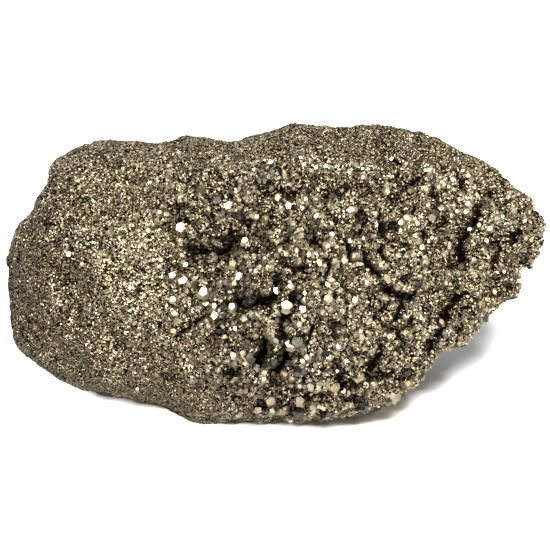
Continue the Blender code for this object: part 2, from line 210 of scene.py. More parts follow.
# Cracks too small for the solid: the same values as its crevices.
CRACKS_MM = (
    (1.0, 3.4, ((3.7, 6.2), (9.0, 9.0), (15.3, 11.8), (24.0, 15.4), (32.3, 18.2), (41.8, 21.1),
                (53.8, 23.2), (64.5, 28.1))),
    (0.9, 2.4, ((33.0, 12.0), (44.0, 15.5), (54.0, 17.5), (62.0, 22.0))),
    (0.9, 2.4, ((55.0, 61.5), (60.5, 63.5), (66.0, 66.5))),
    (0.8, 2.4, ((70.5, 97.5), (73.5, 94.5))),
)

# Ledges above the long cracks: half width, height and the chain of points.
LEDGES_MM = (
    (1.5, 1.8, ((2.0, 9.0), (14.0, 14.6), (31.5, 21.0), (42.0, 24.0), (54.0, 26.2), (64.0, 31.0))),
    (1.3, 1.5, ((32.0, 14.6), (43.5, 18.2), (54.0, 20.2), (62.0, 24.8))),
)

# Humps and dents that the solid leaves out along its outline: x, h, radius and height.
OUTLINE_HUMPS_MM = (
    (102.5, 55.0, 4.5, 3.4), (85.2, 39.5, 8.0, -2.6), (76.9, 114.5, 8.0, -1.8), (-110.0, 68.0, 22.0, 1.1),
    (-92.5, 107.5, 5.0, 2.2), (-99.7, 93.0, 3.0, 1.4), (-94.0, 98.0, 2.6, -0.8), (-105.5, 83.0, 3.4, 1.4),
)

# The finer relief of the dressed surface: knots of crystals, tilted cells and the roughness of grains.
KNOT_MM = 6.5
KNOT_HEIGHT_MM = 1.2
KNOT_EDGE = 0.22
# How much shade is painted in the narrow gaps between knots where the grain is coarse.
KNOT_GAP_SHADE = 0.75
KNOT_MEAN = 0.8
KNOT_WHERE_FINE = 0.3
FINE_AT_OUTLINE = 0.35
CELL_MM = 3.0
CELL_STEEPNESS = 0.5
GRAIN_JITTER_MM = 0.2
ROUGH_MM = ((3.6, 0.5), (1.8, 0.3))
# How dark the shade painted in the core of a crevice or pit is where the grain is fine, and its width in half
# widths.
CORE_WHERE_FINE = 0.4
CORE_WIDTH = 1.2
# How much closer together the points lie on the front, and to the right of the left end, where each of
# these starts, and how many steps a distance is added up in.
FRONT_EXTRA = 4.0
FRONT_EXTRA_FADE = (-0.5, 0.1)
RIGHT_EXTRA = 1.0
LEFT_END_X_MM = (-80.0, -45.0)
FINE_STEPS = 4001
# How far the crystals thin out to the left of the coarse part's edge, the share of that to its right, how
# far that edge wanders in waves of two sizes, and the height of the narrow ones.
CRYSTAL_FADE_MM = 48.0
RIGHT_FADE = 0.4
CRYSTAL_WANDER_MM = 16.0
WANDER_SIZES_MM = (34.0, 13.0)
NARROW_WAVE = 0.6
# What share of the crystals the fine band along the top lacks, and how far its edge wanders with theirs.
BAND_BARE = 0.9
BAND_WANDER = 0.3

# Crystals that stand out on the front: x and h on the map, and the width of the face that shows.
# The face of a bright one sends the main light to the front, a tan one's looks at the floor ahead,
# and a dark one's at the dim room, and a dark one's colour is also painted dark: painted reflection and
# painted shade.
BRIGHT_FACES_MM = (
    (-19.0, 91.3, 3.5), (-19.3, 94.2, 2.6), (0.5, 92.3, 3.5), (7.2, 90.1, 3.8), (18.3, 87.1, 2.9),
    (30.2, 88.1, 4.0), (30.8, 95.9, 2.3), (39.7, 95.3, 2.0), (11.1, 110.2, 1.7), (17.0, 106.4, 1.9),
    (21.5, 106.0, 2.2), (36.6, 105.8, 1.3), (-1.6, 108.5, 2.2), (-7.9, 105.4, 1.6), (-37.7, 82.0, 4.6),
    (-35.4, 66.9, 2.3), (-18.2, 66.0, 3.2), (-14.5, 62.9, 2.9), (-15.8, 60.2, 2.3), (17.1, 66.9, 3.5),
    (28.9, 67.2, 4.3), (-29.7, 56.2, 4.1), (-28.3, 51.6, 3.5), (-24.6, 50.1, 2.6), (-25.6, 46.3, 3.8),
    (-15.1, 40.2, 2.2), (-18.4, 50.0, 3.5), (3.2, 49.0, 4.3), (11.7, 47.5, 3.6), (-11.8, 74.8, 3.2),
    (7.5, 57.6, 2.3), (13.2, 54.0, 2.0), (2.8, 55.6, 3.5), (24.1, 60.0, 2.6), (22.2, 57.1, 2.0),
    (33.1, 52.1, 2.6), (44.2, 65.6, 2.6), (41.5, 87.5, 2.3), (21.2, 51.6, 3.2), (-84.7, 70.6, 2.3),
    (-79.6, 66.9, 1.6), (-38.7, 68.9, 2.6), (-41.8, 62.2, 2.9), (-37.3, 62.2, 4.1), (-41.1, 46.4, 2.6),
    (-41.8, 51.5, 2.6), (-52.4, 99.4, 2.0), (-47.7, 87.7, 1.7), (53.7, 85.5, 2.7), (63.8, 104.9, 2.0),
    (47.9, 109.3, 1.8), (62.7, 98.3, 2.7), (68.7, 75.3, 2.2), (66.2, 77.7, 1.8), (88.7, 81.7, 2.2),
    (84.6, 82.6, 1.8), (81.5, 80.1, 2.0), (78.6, 92.5, 2.7), (99.4, 73.9, 1.4), (-13.9, 30.5, 2.3),
    (-16.8, 28.8, 2.3), (-1.4, 21.8, 2.3), (-14.8, 6.5, 2.9), (-13.6, 8.2, 1.7), (11.9, 25.9, 2.0),
    (22.0, 28.2, 2.5), (25.5, 22.7, 2.0), (7.5, 34.3, 4.6), (54.3, 57.0, 2.4), (59.0, 23.8, 2.1),
    (60.5, 19.5, 2.1), (54.5, 18.6, 2.8), (68.3, 42.3, 2.8), (97.3, 67.5, 2.4), (92.0, 62.7, 1.7),
    (75.4, 34.2, 1.9), (-56.3, 15.9, 1.7), (-4.6, 19.2, 2.0),
)
TAN_FACES_MM = (
    (65.8, 85.1, 4.1), (59.1, 74.6, 2.5), (55.0, 95.2, 2.7), (47.0, 61.8, 5.0), (-41.5, 39.7, 2.8),
    (9.3, 10.5, 5.5), (-2.9, 11.7, 4.0), (24.4, 15.1, 2.9), (48.4, 12.4, 4.5), (-4.1, 44.5, 2.0),
)
# The five tables after this count columns and rows of a fine grid over the front map: its cell, and the
# column and row of the map's origin.
GRID_MM = 0.4135
GRID_ORIGIN = (274.0, 425.0)
# Flat plates near the bottom: column, row and half the width in cells.
PLATES = (
    (273.5, 394.3, 5.5), (268.9, 401.2, 5.5), (288.4, 398.9, 7.0), (297.6, 398.9, 4.5), (307.9, 395.4, 4.0),
    (310.2, 387.4, 4.5), (332.0, 387.4, 4.5), (314.8, 403.5, 3.5), (355.0, 381.7, 5.0), (375.7, 380.5, 4.5),
    (285.0, 412.0, 5.0), (348.0, 370.0, 3.5), (255.0, 409.0, 4.0), (280.0, 393.0, 3.5), (328.6, 378.2, 3.0),
    (407.0, 382.0, 3.5), (390.0, 397.0, 4.5), (440.0, 342.0, 2.5), (448.0, 346.5, 2.5),
)
# Dark faces, painted darker than pyrite: column and row, half the width in cells, and the shade from 0,
# painted black, to 1, blue-grey.
DARK_FACES = (
    (195.8, 249.0, 3.8, 0.0), (147.0, 240.5, 3.3, 0.8), (154.7, 310.4, 2.0, 1.0), (217.5, 204.3, 4.8, 0.5),
    (263.5, 166.0, 2.7, 0.0), (267.2, 176.6, 3.8, 1.0), (263.5, 184.3, 3.0, 0.1), (275.6, 172.0, 3.4, 0.2),
    (248.0, 177.4, 3.0, 0.6), (241.9, 218.7, 4.6, 0.6), (203.7, 220.3, 3.8, 0.4), (219.7, 226.4, 2.7, 0.0),
    (257.2, 227.1, 3.0, 0.3), (268.7, 190.4, 3.0, 0.2), (220.6, 239.0, 4.8, 0.1), (197.2, 248.0, 3.0, 0.0),
    (247.4, 227.4, 2.5, 0.0), (308.6, 234.1, 3.0, 0.1), (283.8, 265.7, 3.3, 0.0), (296.2, 267.6, 3.0, 0.0),
    (292.4, 260.9, 2.5, 0.0), (288.5, 280.0, 2.3, 0.1), (280.9, 291.5, 1.7, 0.0), (318.2, 276.2, 4.5, 0.3),
    (311.5, 269.5, 3.5, 0.2), (331.6, 297.2, 4.0, 0.3), (290.5, 231.2, 4.5, 0.8), (229.2, 293.4, 3.5, 0.5),
    (253.1, 291.5, 3.0, 0.5), (333.5, 218.8, 3.5, 0.3), (333.5, 195.8, 4.0, 0.4), (257.0, 248.4, 4.0, 0.3),
    (238.8, 291.5, 1.7, 0.0), (332.9, 196.0, 4.5, 0.5), (353.9, 210.4, 4.0, 0.5), (334.8, 218.0, 5.0, 0.4),
    (375.0, 176.9, 3.3, 0.1), (393.1, 229.5, 4.5, 0.3), (369.2, 234.3, 3.0, 0.3), (407.5, 214.2, 3.0, 0.3),
    (439.2, 210.0, 3.0, 0.9), (462.0, 268.5, 3.6, 0.5), (418.0, 261.0, 3.5, 0.3), (376.9, 242.9, 3.5, 0.3),
    (400.8, 293.0, 4.3, 0.0), (415.1, 284.3, 5.0, 0.9), (405.6, 281.5, 2.5, 0.4), (331.9, 297.7, 4.0, 0.4),
    (360.6, 403.0, 3.8, 0.3), (343.4, 375.2, 6.0, 0.3), (414.2, 305.4, 4.0, 0.9), (428.5, 307.3, 2.3, 0.4),
    (343.4, 321.7, 3.0, 0.1), (335.7, 326.4, 4.0, 0.4), (341.5, 349.4, 2.0, 0.1), (406.5, 374.3, 4.0, 0.1),
    (444.8, 334.0, 3.0, 0.3), (390.3, 333.0, 3.0, 0.6), (251.2, 307.7, 5.0, 0.3), (244.5, 320.0, 3.8, 1.0),
    (222.5, 314.4, 4.0, 0.8), (274.2, 321.0, 2.5, 0.0), (213.0, 323.0, 2.3, 0.2), (220.6, 332.5, 3.0, 0.3),
    (226.4, 345.0, 3.5, 0.2), (250.3, 341.0, 3.8, 0.9), (275.1, 343.0, 3.5, 0.9), (299.0, 338.3, 5.3, 0.5),
    (246.4, 356.4, 4.0, 0.2), (270.4, 361.2, 4.3, 0.3), (261.7, 367.9, 4.8, 0.2), (278.0, 356.4, 2.0, 0.0),
    (236.9, 373.7, 3.5, 0.2), (290.4, 366.0, 3.5, 0.3), (299.0, 369.8, 3.5, 0.4), (292.4, 375.6, 3.0, 0.2),
    (309.6, 380.4, 3.5, 0.9), (323.0, 351.7, 4.0, 0.3), (315.3, 357.4, 3.0, 0.9), (265.6, 388.0, 4.8, 0.0),
    (272.3, 384.2, 2.5, 0.0), (291.4, 392.8, 3.0, 0.2), (258.9, 394.7, 3.3, 0.0), (236.9, 395.7, 3.0, 0.4),
    (226.4, 386.1, 3.0, 0.1), (300.0, 408.1, 4.0, 0.2), (321.0, 412.0, 3.0, 0.1), (337.3, 327.7, 4.0, 0.4),
    (283.8, 395.7, 3.0, 0.9), (134.6, 274.0, 2.0, 0.0), (139.4, 292.2, 2.0, 0.1), (165.2, 266.4, 1.9, 0.1),
    (165.2, 275.0, 2.1, 0.2), (160.4, 269.2, 1.9, 0.1), (148.0, 264.4, 1.8, 0.1), (482.0, 244.2, 2.3, 0.3),
    (52.4, 226.4, 2.2, 0.0), (71.5, 262.5, 1.9, 0.0), (57.0, 193.0, 1.7, 0.0), (103.3, 288.4, 1.7, 0.0),
    (18.5, 260.5, 2.0, 0.0), (70.5, 180.5, 1.6, 0.0), (70.5, 249.0, 1.8, 0.0), (128.0, 352.0, 1.8, 0.0),
    (66.0, 283.0, 1.5, 0.1), (122.5, 343.5, 1.5, 0.0), (174.5, 378.5, 1.8, 0.0), (97.5, 378.0, 1.6, 0.0),
)
# Narrow creases: half width in cells, depth in millimetres and the chain of columns and rows.
CREASES = (
    (1.8, 3.0, ((229.2, 226.4), (231.1, 235.0), (232.1, 242.7), (228.3, 251.3))),
    (1.3, 2.4, ((228.3, 251.3), (217.7, 256.1), (215.8, 260.9))),
    (1.0, 2.0, ((265.6, 254.2), (267.5, 250.4), (266.1, 246.5))),
    (1.1, 2.2, ((306.7, 227.4), (313.4, 233.1), (314.4, 238.9), (308.6, 245.6))),
    (1.5, 2.6, ((272.3, 281.9), (274.2, 289.6), (271.3, 297.2), (257.0, 299.1))),
    (1.3, 2.2, ((191.9, 255.1), (195.7, 261.8))),
    (0.9, 1.8, ((301.0, 188.2), (296.2, 193.0), (286.6, 194.9))),
    (1.0, 1.8, ((263.7, 195.8), (260.8, 200.6))),
    (0.8, 1.6, ((267.5, 215.0), (271.3, 210.2))), (0.8, 1.6, ((255.0, 210.2), (258.9, 213.0))),
    (0.8, 1.6, ((269.4, 223.6), (268.4, 227.4), (264.6, 231.2))),
    (1.0, 2.0, ((327.8, 259.9), (328.7, 270.4), (323.9, 279.0))),
    (1.1, 2.2, ((221.6, 301.0), (230.2, 307.8), (235.9, 306.8), (243.6, 301.0))),
    (3.0, 2.4, ((243.6, 303.0), (254.0, 303.0), (265.0, 304.5))),
    (1.3, 2.6, ((477.4, 209.0), (478.2, 213.6))),
    (2.2, 3.0, ((478.2, 213.6), (475.2, 219.7), (472.9, 225.0))),
    (1.3, 2.6, ((472.9, 225.0), (468.3, 230.4), (464.4, 236.5), (462.1, 241.1), (459.1, 248.0))),
    (2.4, 3.0, ((459.1, 248.0), (461.4, 254.1), (460.6, 260.3))),
    (2.6, 3.6, ((518.8, 230.4), (515.7, 237.3), (512.7, 244.2))),
    (1.3, 2.6, ((501.2, 248.0), (496.6, 255.7), (492.0, 262.5), (493.5, 268.7))),
    (1.0, 2.0, ((490.5, 242.7), (498.9, 241.5))), (0.9, 1.8, ((490.5, 235.8), (495.0, 230.4))),
    (1.3, 2.4, ((511.1, 265.6), (513.4, 262.5), (520.3, 261.0), (524.9, 258.0))),
    (0.9, 1.8, ((488.9, 196.7), (489.7, 192.9), (491.2, 190.6))),
    (1.2, 2.2, ((460.6, 183.0), (461.4, 187.6))), (1.1, 2.0, ((456.0, 173.0), (455.6, 176.5))),
    (0.9, 1.6, ((535.6, 215.1), (537.1, 221.2))), (0.8, 1.4, ((496.6, 176.8), (498.9, 179.1))),
    (0.9, 1.8, ((448.4, 268.7), (449.9, 265.6), (453.0, 263.3))),
    (1.2, 2.2, ((442.2, 209.0), (445.3, 212.0))), (1.3, 2.4, ((430.0, 194.4), (434.6, 197.5))),
    (1.1, 2.0, ((431.4, 187.4), (433.3, 197.0), (435.2, 204.6))),
    (1.1, 2.0, ((444.5, 219.7), (441.5, 225.8), (433.8, 229.6))),
    (1.6, 3.0, ((407.5, 187.4), (412.0, 184.8), (417.0, 179.7))),
    (1.6, 3.0, ((393.1, 159.7), (396.5, 163.5), (399.8, 165.4))),
    (0.8, 1.6, ((380.7, 130.0), (381.7, 139.6), (387.4, 148.2))),
    (1.3, 2.4, ((389.3, 198.9), (392.2, 206.5))),
    (1.9, 3.0, ((378.8, 223.8), (381.7, 229.5), (380.7, 236.2))),
    (1.3, 2.4, ((345.3, 242.9), (347.2, 248.6), (350.1, 253.4))),
    (1.2, 2.2, ((362.5, 223.8), (359.7, 235.2))),
    (1.8, 3.0, ((363.5, 253.4), (364.4, 261.0), (372.1, 271.6), (377.8, 275.4))),
    (1.8, 3.0, ((379.7, 249.6), (383.6, 258.2), (385.5, 263.9))),
    (0.9, 1.8, ((421.8, 231.4), (424.7, 238.1))), (1.3, 2.4, ((428.5, 220.9), (430.4, 225.7))),
    (1.2, 2.2, ((415.1, 206.5), (414.2, 212.3))), (1.0, 1.8, ((396.0, 193.1), (397.0, 200.8))),
    (1.0, 1.8, ((377.8, 206.5), (379.7, 214.2))),
    (1.4, 2.6, ((413.2, 293.0), (406.5, 298.7), (400.8, 302.5), (398.9, 310.2), (396.0, 320.7))),
    (0.9, 1.8, ((387.4, 335.1), (390.3, 331.2), (396.0, 330.3))),
    (0.9, 1.8, ((397.0, 334.1), (400.8, 340.8), (402.7, 349.4))),
    (1.9, 3.2, ((465.8, 293.0), (454.4, 296.8), (450.5, 304.4), (445.8, 312.1), (441.0, 320.7),
                (443.8, 327.4), (436.2, 336.0))),
    (1.4, 2.6, ((436.2, 336.0), (429.5, 346.5), (420.9, 355.1), (414.2, 361.8), (408.4, 370.4),
                (402.7, 375.2), (392.2, 380.0))),
    (1.3, 2.6, ((469.7, 305.4), (461.0, 309.2), (460.1, 315.9))),
    (1.2, 2.4, ((463.0, 324.5), (456.3, 333.1))), (1.0, 2.0, ((477.3, 317.8), (472.5, 324.5))),
    (1.3, 2.4, ((334.8, 380.0), (338.6, 373.3), (344.3, 370.4))),
    (2.0, 3.0, ((381.7, 354.2), (375.9, 358.0), (368.3, 366.6), (362.5, 373.3))),
    (1.1, 2.2, ((330.0, 392.5), (342.4, 386.7), (357.7, 379.0), (371.1, 376.2), (381.7, 373.3))),
    (1.0, 2.0, ((343.4, 401.0), (352.0, 396.3), (355.8, 398.2), (353.0, 404.9))),
    (1.1, 2.0, ((421.8, 306.3), (422.8, 312.1))), (1.1, 2.0, ((410.4, 316.9), (412.3, 324.5))),
    (0.9, 1.8, ((428.5, 323.6), (425.7, 328.3))), (0.9, 1.8, ((382.6, 307.3), (378.8, 312.1))),
    (0.9, 1.8, ((375.0, 316.9), (375.0, 321.7))), (1.2, 2.2, ((381.7, 345.6), (380.7, 350.4))),
    (2.6, 3.6, ((290.5, 298.0), (292.4, 307.7), (285.7, 315.3), (279.9, 320.1))),
    (1.7, 2.8, ((280.9, 328.7), (284.7, 336.4), (276.1, 339.2))),
    (2.6, 3.4, ((263.7, 343.0), (263.7, 350.7), (257.0, 357.4), (256.0, 365.0))),
    (2.2, 3.2, ((284.7, 351.7), (286.6, 359.3), (281.8, 364.1), (274.2, 369.8), (271.3, 376.5))),
    (1.3, 2.4, ((312.5, 328.7), (308.6, 337.3), (304.8, 344.0))),
    (0.9, 1.6, ((213.9, 364.1), (223.5, 374.6))), (0.9, 1.6, ((225.4, 374.6), (230.2, 371.8))),
    (1.2, 2.4, ((253.1, 413.8), (262.7, 408.1), (273.2, 403.3), (279.0, 405.2))),
    (1.0, 2.2, ((264.6, 399.5), (271.3, 395.7), (279.0, 397.6))),
    (1.4, 2.6, ((296.2, 406.2), (302.9, 397.6), (314.4, 394.7))),
    (1.8, 2.8, ((183.4, 255.8), (187.2, 257.7))),
    (1.0, 2.0, ((175.8, 338.1), (179.6, 333.3), (189.1, 327.6), (196.8, 320.9), (204.5, 316.1))),
    (1.3, 2.2, ((192.0, 292.2), (191.1, 299.8))), (1.0, 1.6, ((103.0, 288.4), (106.9, 288.4))),
    (1.0, 1.6, ((71.5, 262.5), (74.3, 260.6))), (1.2, 1.6, ((70.5, 246.3), (71.5, 251.0))),
    (0.9, 1.6, ((202.5, 363.0), (200.6, 365.8))), (0.9, 1.8, ((205.3, 194.2), (208.0, 198.8))),
    (1.3, 2.4, ((212.1, 211.8), (212.9, 218.7))), (1.2, 2.2, ((180.0, 208.0), (178.4, 215.7))),
    (1.0, 2.0, ((184.5, 218.0), (189.1, 224.1))), (0.9, 1.6, ((209.8, 172.0), (208.3, 175.1))),
    (0.9, 1.6, ((253.4, 209.5), (258.0, 213.4))), (0.9, 1.8, ((269.5, 221.8), (270.3, 227.1))),
)
# Small holes: column, row and radius in cells.
HOLES = (
    (395.0, 176.9, 3.6), (446.7, 148.2, 1.5), (388.4, 134.3, 1.5), (386.4, 290.1, 5.0), (380.7, 327.4, 2.0),
    (369.2, 305.4, 1.5), (454.4, 281.5, 1.8), (435.2, 292.0, 1.8), (449.6, 305.4, 1.5), (430.4, 346.5, 2.0),
    (477.0, 300.6, 1.9), (322.0, 368.9, 2.8), (338.3, 379.4, 3.4), (529.5, 253.4, 1.6), (530.3, 248.0, 1.2),
    (486.6, 188.3, 1.3), (479.0, 192.1, 1.4), (499.6, 197.5, 1.4), (505.0, 203.2, 1.4), (503.1, 186.4, 1.2),
    (459.1, 166.9, 1.3), (448.8, 161.5, 1.3), (170.0, 303.7, 1.6), (159.5, 323.8, 1.9), (164.3, 328.5, 1.4),
    (181.5, 172.8, 1.3), (218.2, 195.0, 1.4), (232.8, 197.3, 1.3), (196.0, 182.8, 1.4), (261.8, 200.4, 1.2),
    (284.8, 169.0, 1.5), (258.0, 224.5, 1.9), (141.3, 271.1, 1.6), (138.4, 285.5, 1.4),
)
# Rounded clumps: column, row and radius in cells.
CLUMPS = (
    (220.6, 238.9, 12.0), (260.8, 249.4, 7.0), (303.8, 237.0, 11.0), (262.7, 283.8, 12.4),
    (196.7, 246.5, 6.7), (210.0, 208.0, 6.0), (293.3, 190.0, 7.7), (291.4, 266.6, 10.0),
    (281.8, 289.6, 6.7), (281.8, 304.0, 6.7),
    (266.5, 224.5, 5.3), (319.0, 266.6, 8.6), (228.3, 301.0, 8.6), (260.8, 206.0, 8.0), (317.2, 205.4, 7.7),
    (272.3, 331.6, 9.0), (411.3, 175.9, 6.5), (404.0, 159.0, 7.0), (352.0, 238.0, 7.0), (416.1, 238.1, 8.0),
    (371.0, 231.0, 8.0), (455.3, 255.3, 6.5), (449.0, 218.0, 18.0), (489.0, 205.0, 8.0), (486.0, 229.0, 8.0),
    (414.2, 305.4, 7.0), (392.0, 343.0, 9.0), (370.0, 345.0, 9.0), (351.0, 366.0, 9.0), (390.0, 265.0, 7.0),
    (352.0, 268.0, 9.0), (339.0, 248.0, 6.5), (505.0, 257.0, 7.0), (345.0, 400.0, 7.0), (430.0, 262.0, 9.0),
)
# A clump's height for its radius, and where its side starts and ends in radii.
CLUMP_STEEPNESS = 0.24
CLUMP_SIDE = (0.55, 1.15)
# Where the shade painted in a crease's core fades in half widths, what is added to its half width in cells,
# and how far its edge wanders in waves of what size.
CREASE_CORE_SHADE = (0.9, 1.4)
CREASE_EXTRA = 0.25
CREASE_RAGGED_MM = 0.45
CREASE_WAVE_MM = 2.2
HOLE_DEPTH_MM = 2.4
# How much wider a placed face is than the spot that it covers, and a dark face's width in half widths.
FACE_GROWTH = 1.18
DARK_WIDTH = 2.3
# A placed crystal's radius for its face's width, and the range of its stretch along that face.
RADIUS_PER_FACE = 0.64
FACE_STRETCH = (0.6, 1.15)
# How far a placed face is from the ground, what a leaning one adds for its width, and how far it is from
# its crystal's middle in radii.
FACE_LIFT_MM = 0.35
FACE_LEAN_LIFT = 0.35
FACE_DISTANCE = 0.8
# How far a placed face looks astray, the share that is polished, and the radius in widths that it keeps free.
FACE_ASTRAY = 0.08
FACE_POLISHED = 0.55
FACE_FREE = 0.52
# What a tan face mirrors: a point on the floor ahead of the stone.
TAN_LOOKS_AT_MM = (0.0, -260.0, 0.0)
# The tone of painted black on a dark face whose shade is 0. From there it falls to 0 at shade 1.
PAINTED_BLACK_TONE = 1.3
# How much the ground has to look towards the front for a placed face and for a crease to count, and the
# least height of what is scattered, and of a big crystal.
ON_FRONT = 0.2
CREASES_SHOW = 0.1
SPOTS_FROM_Z_MM = 0.3
BIG_FROM_Z_MM = 1.0
# What stands for "nowhere near", in millimetres.
FAR_MM = 1e6
# More lattice cells than lie side by side anywhere on the stone.
LATTICE_WIDTH = 100003

# Scattered spots: how many are drawn, the lattice cell in which one at most stays, the most in all, and
# the seed. The seed after it draws their sizes and turns.
GRAIN_SPOTS = (400000, 0.7, 147000, 3)
SMALL_SPOTS = (60000, 1.6, 7000, 5)
BIG_SPOTS = (5000, 2.6, 5000, 7)
# Radii over the usual one: the middle and spread of their logarithm, and the largest.
GRAIN_SPREAD = 0.25
SMALL_RADII = (-0.15, 0.5, 2.2)
BIG_RADII = (0.0, 0.3, 1.3)
# How deep each lies in the ground, in radii.
GRAIN_SINK = 0.1
SMALL_SINK = 0.5
BIG_SINK = 0.62
# How far a grain leans from the ground's own direction, and the share of grains that are polished.
GRAIN_ASTRAY = 0.9
GRAINS_POLISHED = 0.06
# The least dullness of what isn't polished.
DULL_LEAST = 0.35
# What share of the grains is missing where coarse and on the back, and where the back starts.
GRAINS_THINNED_COARSE = 0.35
GRAINS_THINNED_BACK = 0.5
BACK_FADE = (-0.2, 0.3)
# How many small crystals lie even where the grain is fine. Then for both kinds: what share is missing on
# the right, where that starts, and how clear of a crease each lies, in usual radii.
SMALL_EVERYWHERE = 0.04
SMALL_THINNED, BIG_THINNED = 0.5, 0.3
SMALL_THINS_X_MM, BIG_THINS_X_MM = (25.0, 60.0), (35.0, 60.0)
SMALL_CLEAR, BIG_CLEAR = 0.6, 0.8
# The least and most painted shade on the mass: its open ground between the grains is painted a little dark as
# well.
MASS_SHADE = (0.15, 1.0)
# How high the roofs of a pyritohedron stand over its cube, which is also the slope of its faces.
ROOF = 0.5

# Each material's cells per metre, their tilt, the share of cells painted near-black as shade, the share that
# is polished, the least and most roughness, and the contrast between cells.
MASS_LOOK = (1700.0, 1.2, 0.45, 0.05, 0.2, 0.5, 0.8)
GRAIN_LOOK = (1700.0, 0.35, 0.16, 0.0, 0.3, 0.5, 0.65)
CRYSTAL_LOOK = (900.0, 0.14, 0.07, 0.0, 0.2, 0.7, 0.45)
FACE_LOOK = (800.0, 0.06, 0.0, 0.0, 0.2, 0.65, 0.2)
DARK_FACE_LOOK = (700.0, 0.15, 0.0, 0.0, 0.14, 0.3, 0.35)
# Tarnish lies in patches: their noise's scale, its detail, and the values where they start and end.
PATCHES_PER_METRE = 90.0
PATCH_DETAIL = 4.0
PATCH_EDGE = (0.35, 0.7)
# A spot with more painted shade than this isn't metal, and stays near-black.
SHADE_NOT_METAL_FROM = 0.9

# The camera's lens and film width in millimetres, and how far right of the middle it stands.
CAMERA_LENS = 158.3
CAMERA_FILM = 36.0
CAMERA_RIGHT_MM = 0.4
# How many times brighter the floor looks than it lights the stone.
FLOOR_EXPOSURE = 3.2
# The floor's radius in metres, its corners, and how far out it starts and ends turning pure white.
FLOOR_RADIUS = 6.0
FLOOR_CORNERS = 96
WHITE_FROM, WHITE_TO = 0.15, 0.45
# The dim room that the stone mirrors.
ROOM_COLOUR = (0.94, 0.97, 1.0, 1.0)
ROOM_STRENGTH = 0.13
# What every light looks at, and where the main one is: its angle round from the front, its angle up, its
# distance, and its width and height, in metres.
AIM_MM = (0.0, 0.0, 60.0)
KEY_AZIMUTH = math.radians(-13.0)
KEY_ELEVATION = math.radians(47.0)
KEY_DISTANCE = 0.95
KEY_SIZE = (0.5, 0.5)
# The other lights on the stone: name, direction, distance, width and height in metres, and watts.
STONE_LIGHTS = (
    ("top_light", (0.5, -0.2, 1.0), 1.2, (0.9, 0.8), 5.8),
    ("front_light", (0.6, -1.0, 0.1), 1.2, (1.2, 0.6), 21.0),
    ("side_light", (1.0, -0.7, 0.5), 1.1, (0.6, 0.8), 22.5),
    ("back_light", (-0.5, 1.0, 0.35), 1.2, (0.8, 0.6), 11.0),
)
# The lights that throw the stone's shadow, which share the floor's power, and a faint one from above.
FLOOR_LIGHTS = (
    ("floor_light", (0.25, -1.15, 1.0), 1.2, (0.24, 0.24)),
    ("left_floor_light", (-0.6, -1.0, 0.6), 1.2, (0.2, 0.2)),
)
FLOOR_FILL = ("floor_fill", (0.0, 0.0, 1.0), 1.0, (1.1, 1.1), 0.6)


class PyriteSettings(bpy.types.PropertyGroup):
    """Sizes and colours of the dressed specimen."""

    rings: bpy.props.IntProperty(
        name="Rings", description="Rings of points along the mass", default=330, min=40, max=400
    )
    columns: bpy.props.IntProperty(
        name="Columns", description="Points round each ring", default=302, min=40, max=400
    )
    big_crystal: bpy.props.FloatProperty(
        name="Big Crystals", description="Usual radius of a big crystal", default=1.45 * MM,
        unit="LENGTH",
    )
    small_crystal: bpy.props.FloatProperty(
        name="Small Crystals", description="Usual radius of a small crystal", default=0.7 * MM,
        unit="LENGTH",
    )
    grain: bpy.props.FloatProperty(
        name="Grains", description="Usual radius of a grain", default=0.44 * MM, unit="LENGTH"
    )
    # Painted shade specks: this share of grains is painted fully in the shade colour.
    shade_speck_grains: bpy.props.FloatProperty(
        name="Dark Grains", description="Share of the grains that are dark", default=0.3, min=0.0, max=1.0
    )
    pyrite_colour: bpy.props.FloatVectorProperty(
        name="Pyrite", description="Colour that a clean face reflects", subtype="COLOR",
        default=(0.45, 0.385, 0.265), min=0.0, max=1.0,
    )
    tarnish_colour: bpy.props.FloatVectorProperty(
        name="Tarnish", description="Colour of old brownish faces", subtype="COLOR",
        default=(0.275, 0.208, 0.108), min=0.0, max=1.0,
    )
    crystal_colour: bpy.props.FloatVectorProperty(
        name="Crystals", description="Colour of the clean scattered crystals", subtype="COLOR",
        default=(0.36, 0.313, 0.222), min=0.0, max=1.0,
    )
    dull_colour: bpy.props.FloatVectorProperty(
        name="Dull Crystals", description="Colour of the dullest scattered crystals", subtype="COLOR",
        default=(0.2, 0.162, 0.096), min=0.0, max=1.0,
    )
    # Painted shade: the near-black colour painted between the grains, along crevice, crease and hole cores,
    # and on the shade speck grains.
    painted_shade_colour: bpy.props.FloatVectorProperty(
        name="Painted Shade", description="Colour deep between the grains", subtype="COLOR",
        default=(0.004, 0.003, 0.0015), min=0.0, max=1.0,
    )
    # The dark faces are painted dark: the lighter ones as painted reflection of the dim room, the black ones
    # as painted shade in pits and deep gaps.
    painted_dark_face_colour: bpy.props.FloatVectorProperty(
        name="Dark Faces", description="Colour of the lightest of the dark faces", subtype="COLOR",
        default=(0.3, 0.275, 0.215), min=0.0, max=1.0,
    )
    floor_colour: bpy.props.FloatVectorProperty(
        name="Floor", description="Colour of the studio floor", subtype="COLOR",
        default=(0.7, 0.7, 0.7), min=0.0, max=1.0,
    )
    floor_watts: bpy.props.FloatProperty(
        name="Floor Light", description="Power of the light on the floor, in watts", default=40.0, min=0.0
    )
    key_watts: bpy.props.FloatProperty(
        name="Key Light", description="Strength of the main soft light", default=12.8, min=0.0
    )


def smooth_step(low, high, values):
    """From 0 at low to 1 at high, along an S-curve: 3t^2 - 2t^3 of the clipped share t."""
    share = np.clip((values - low) / (high - low), 0.0, 1.0)
    return share * share * (3.0 - 2.0 * share)


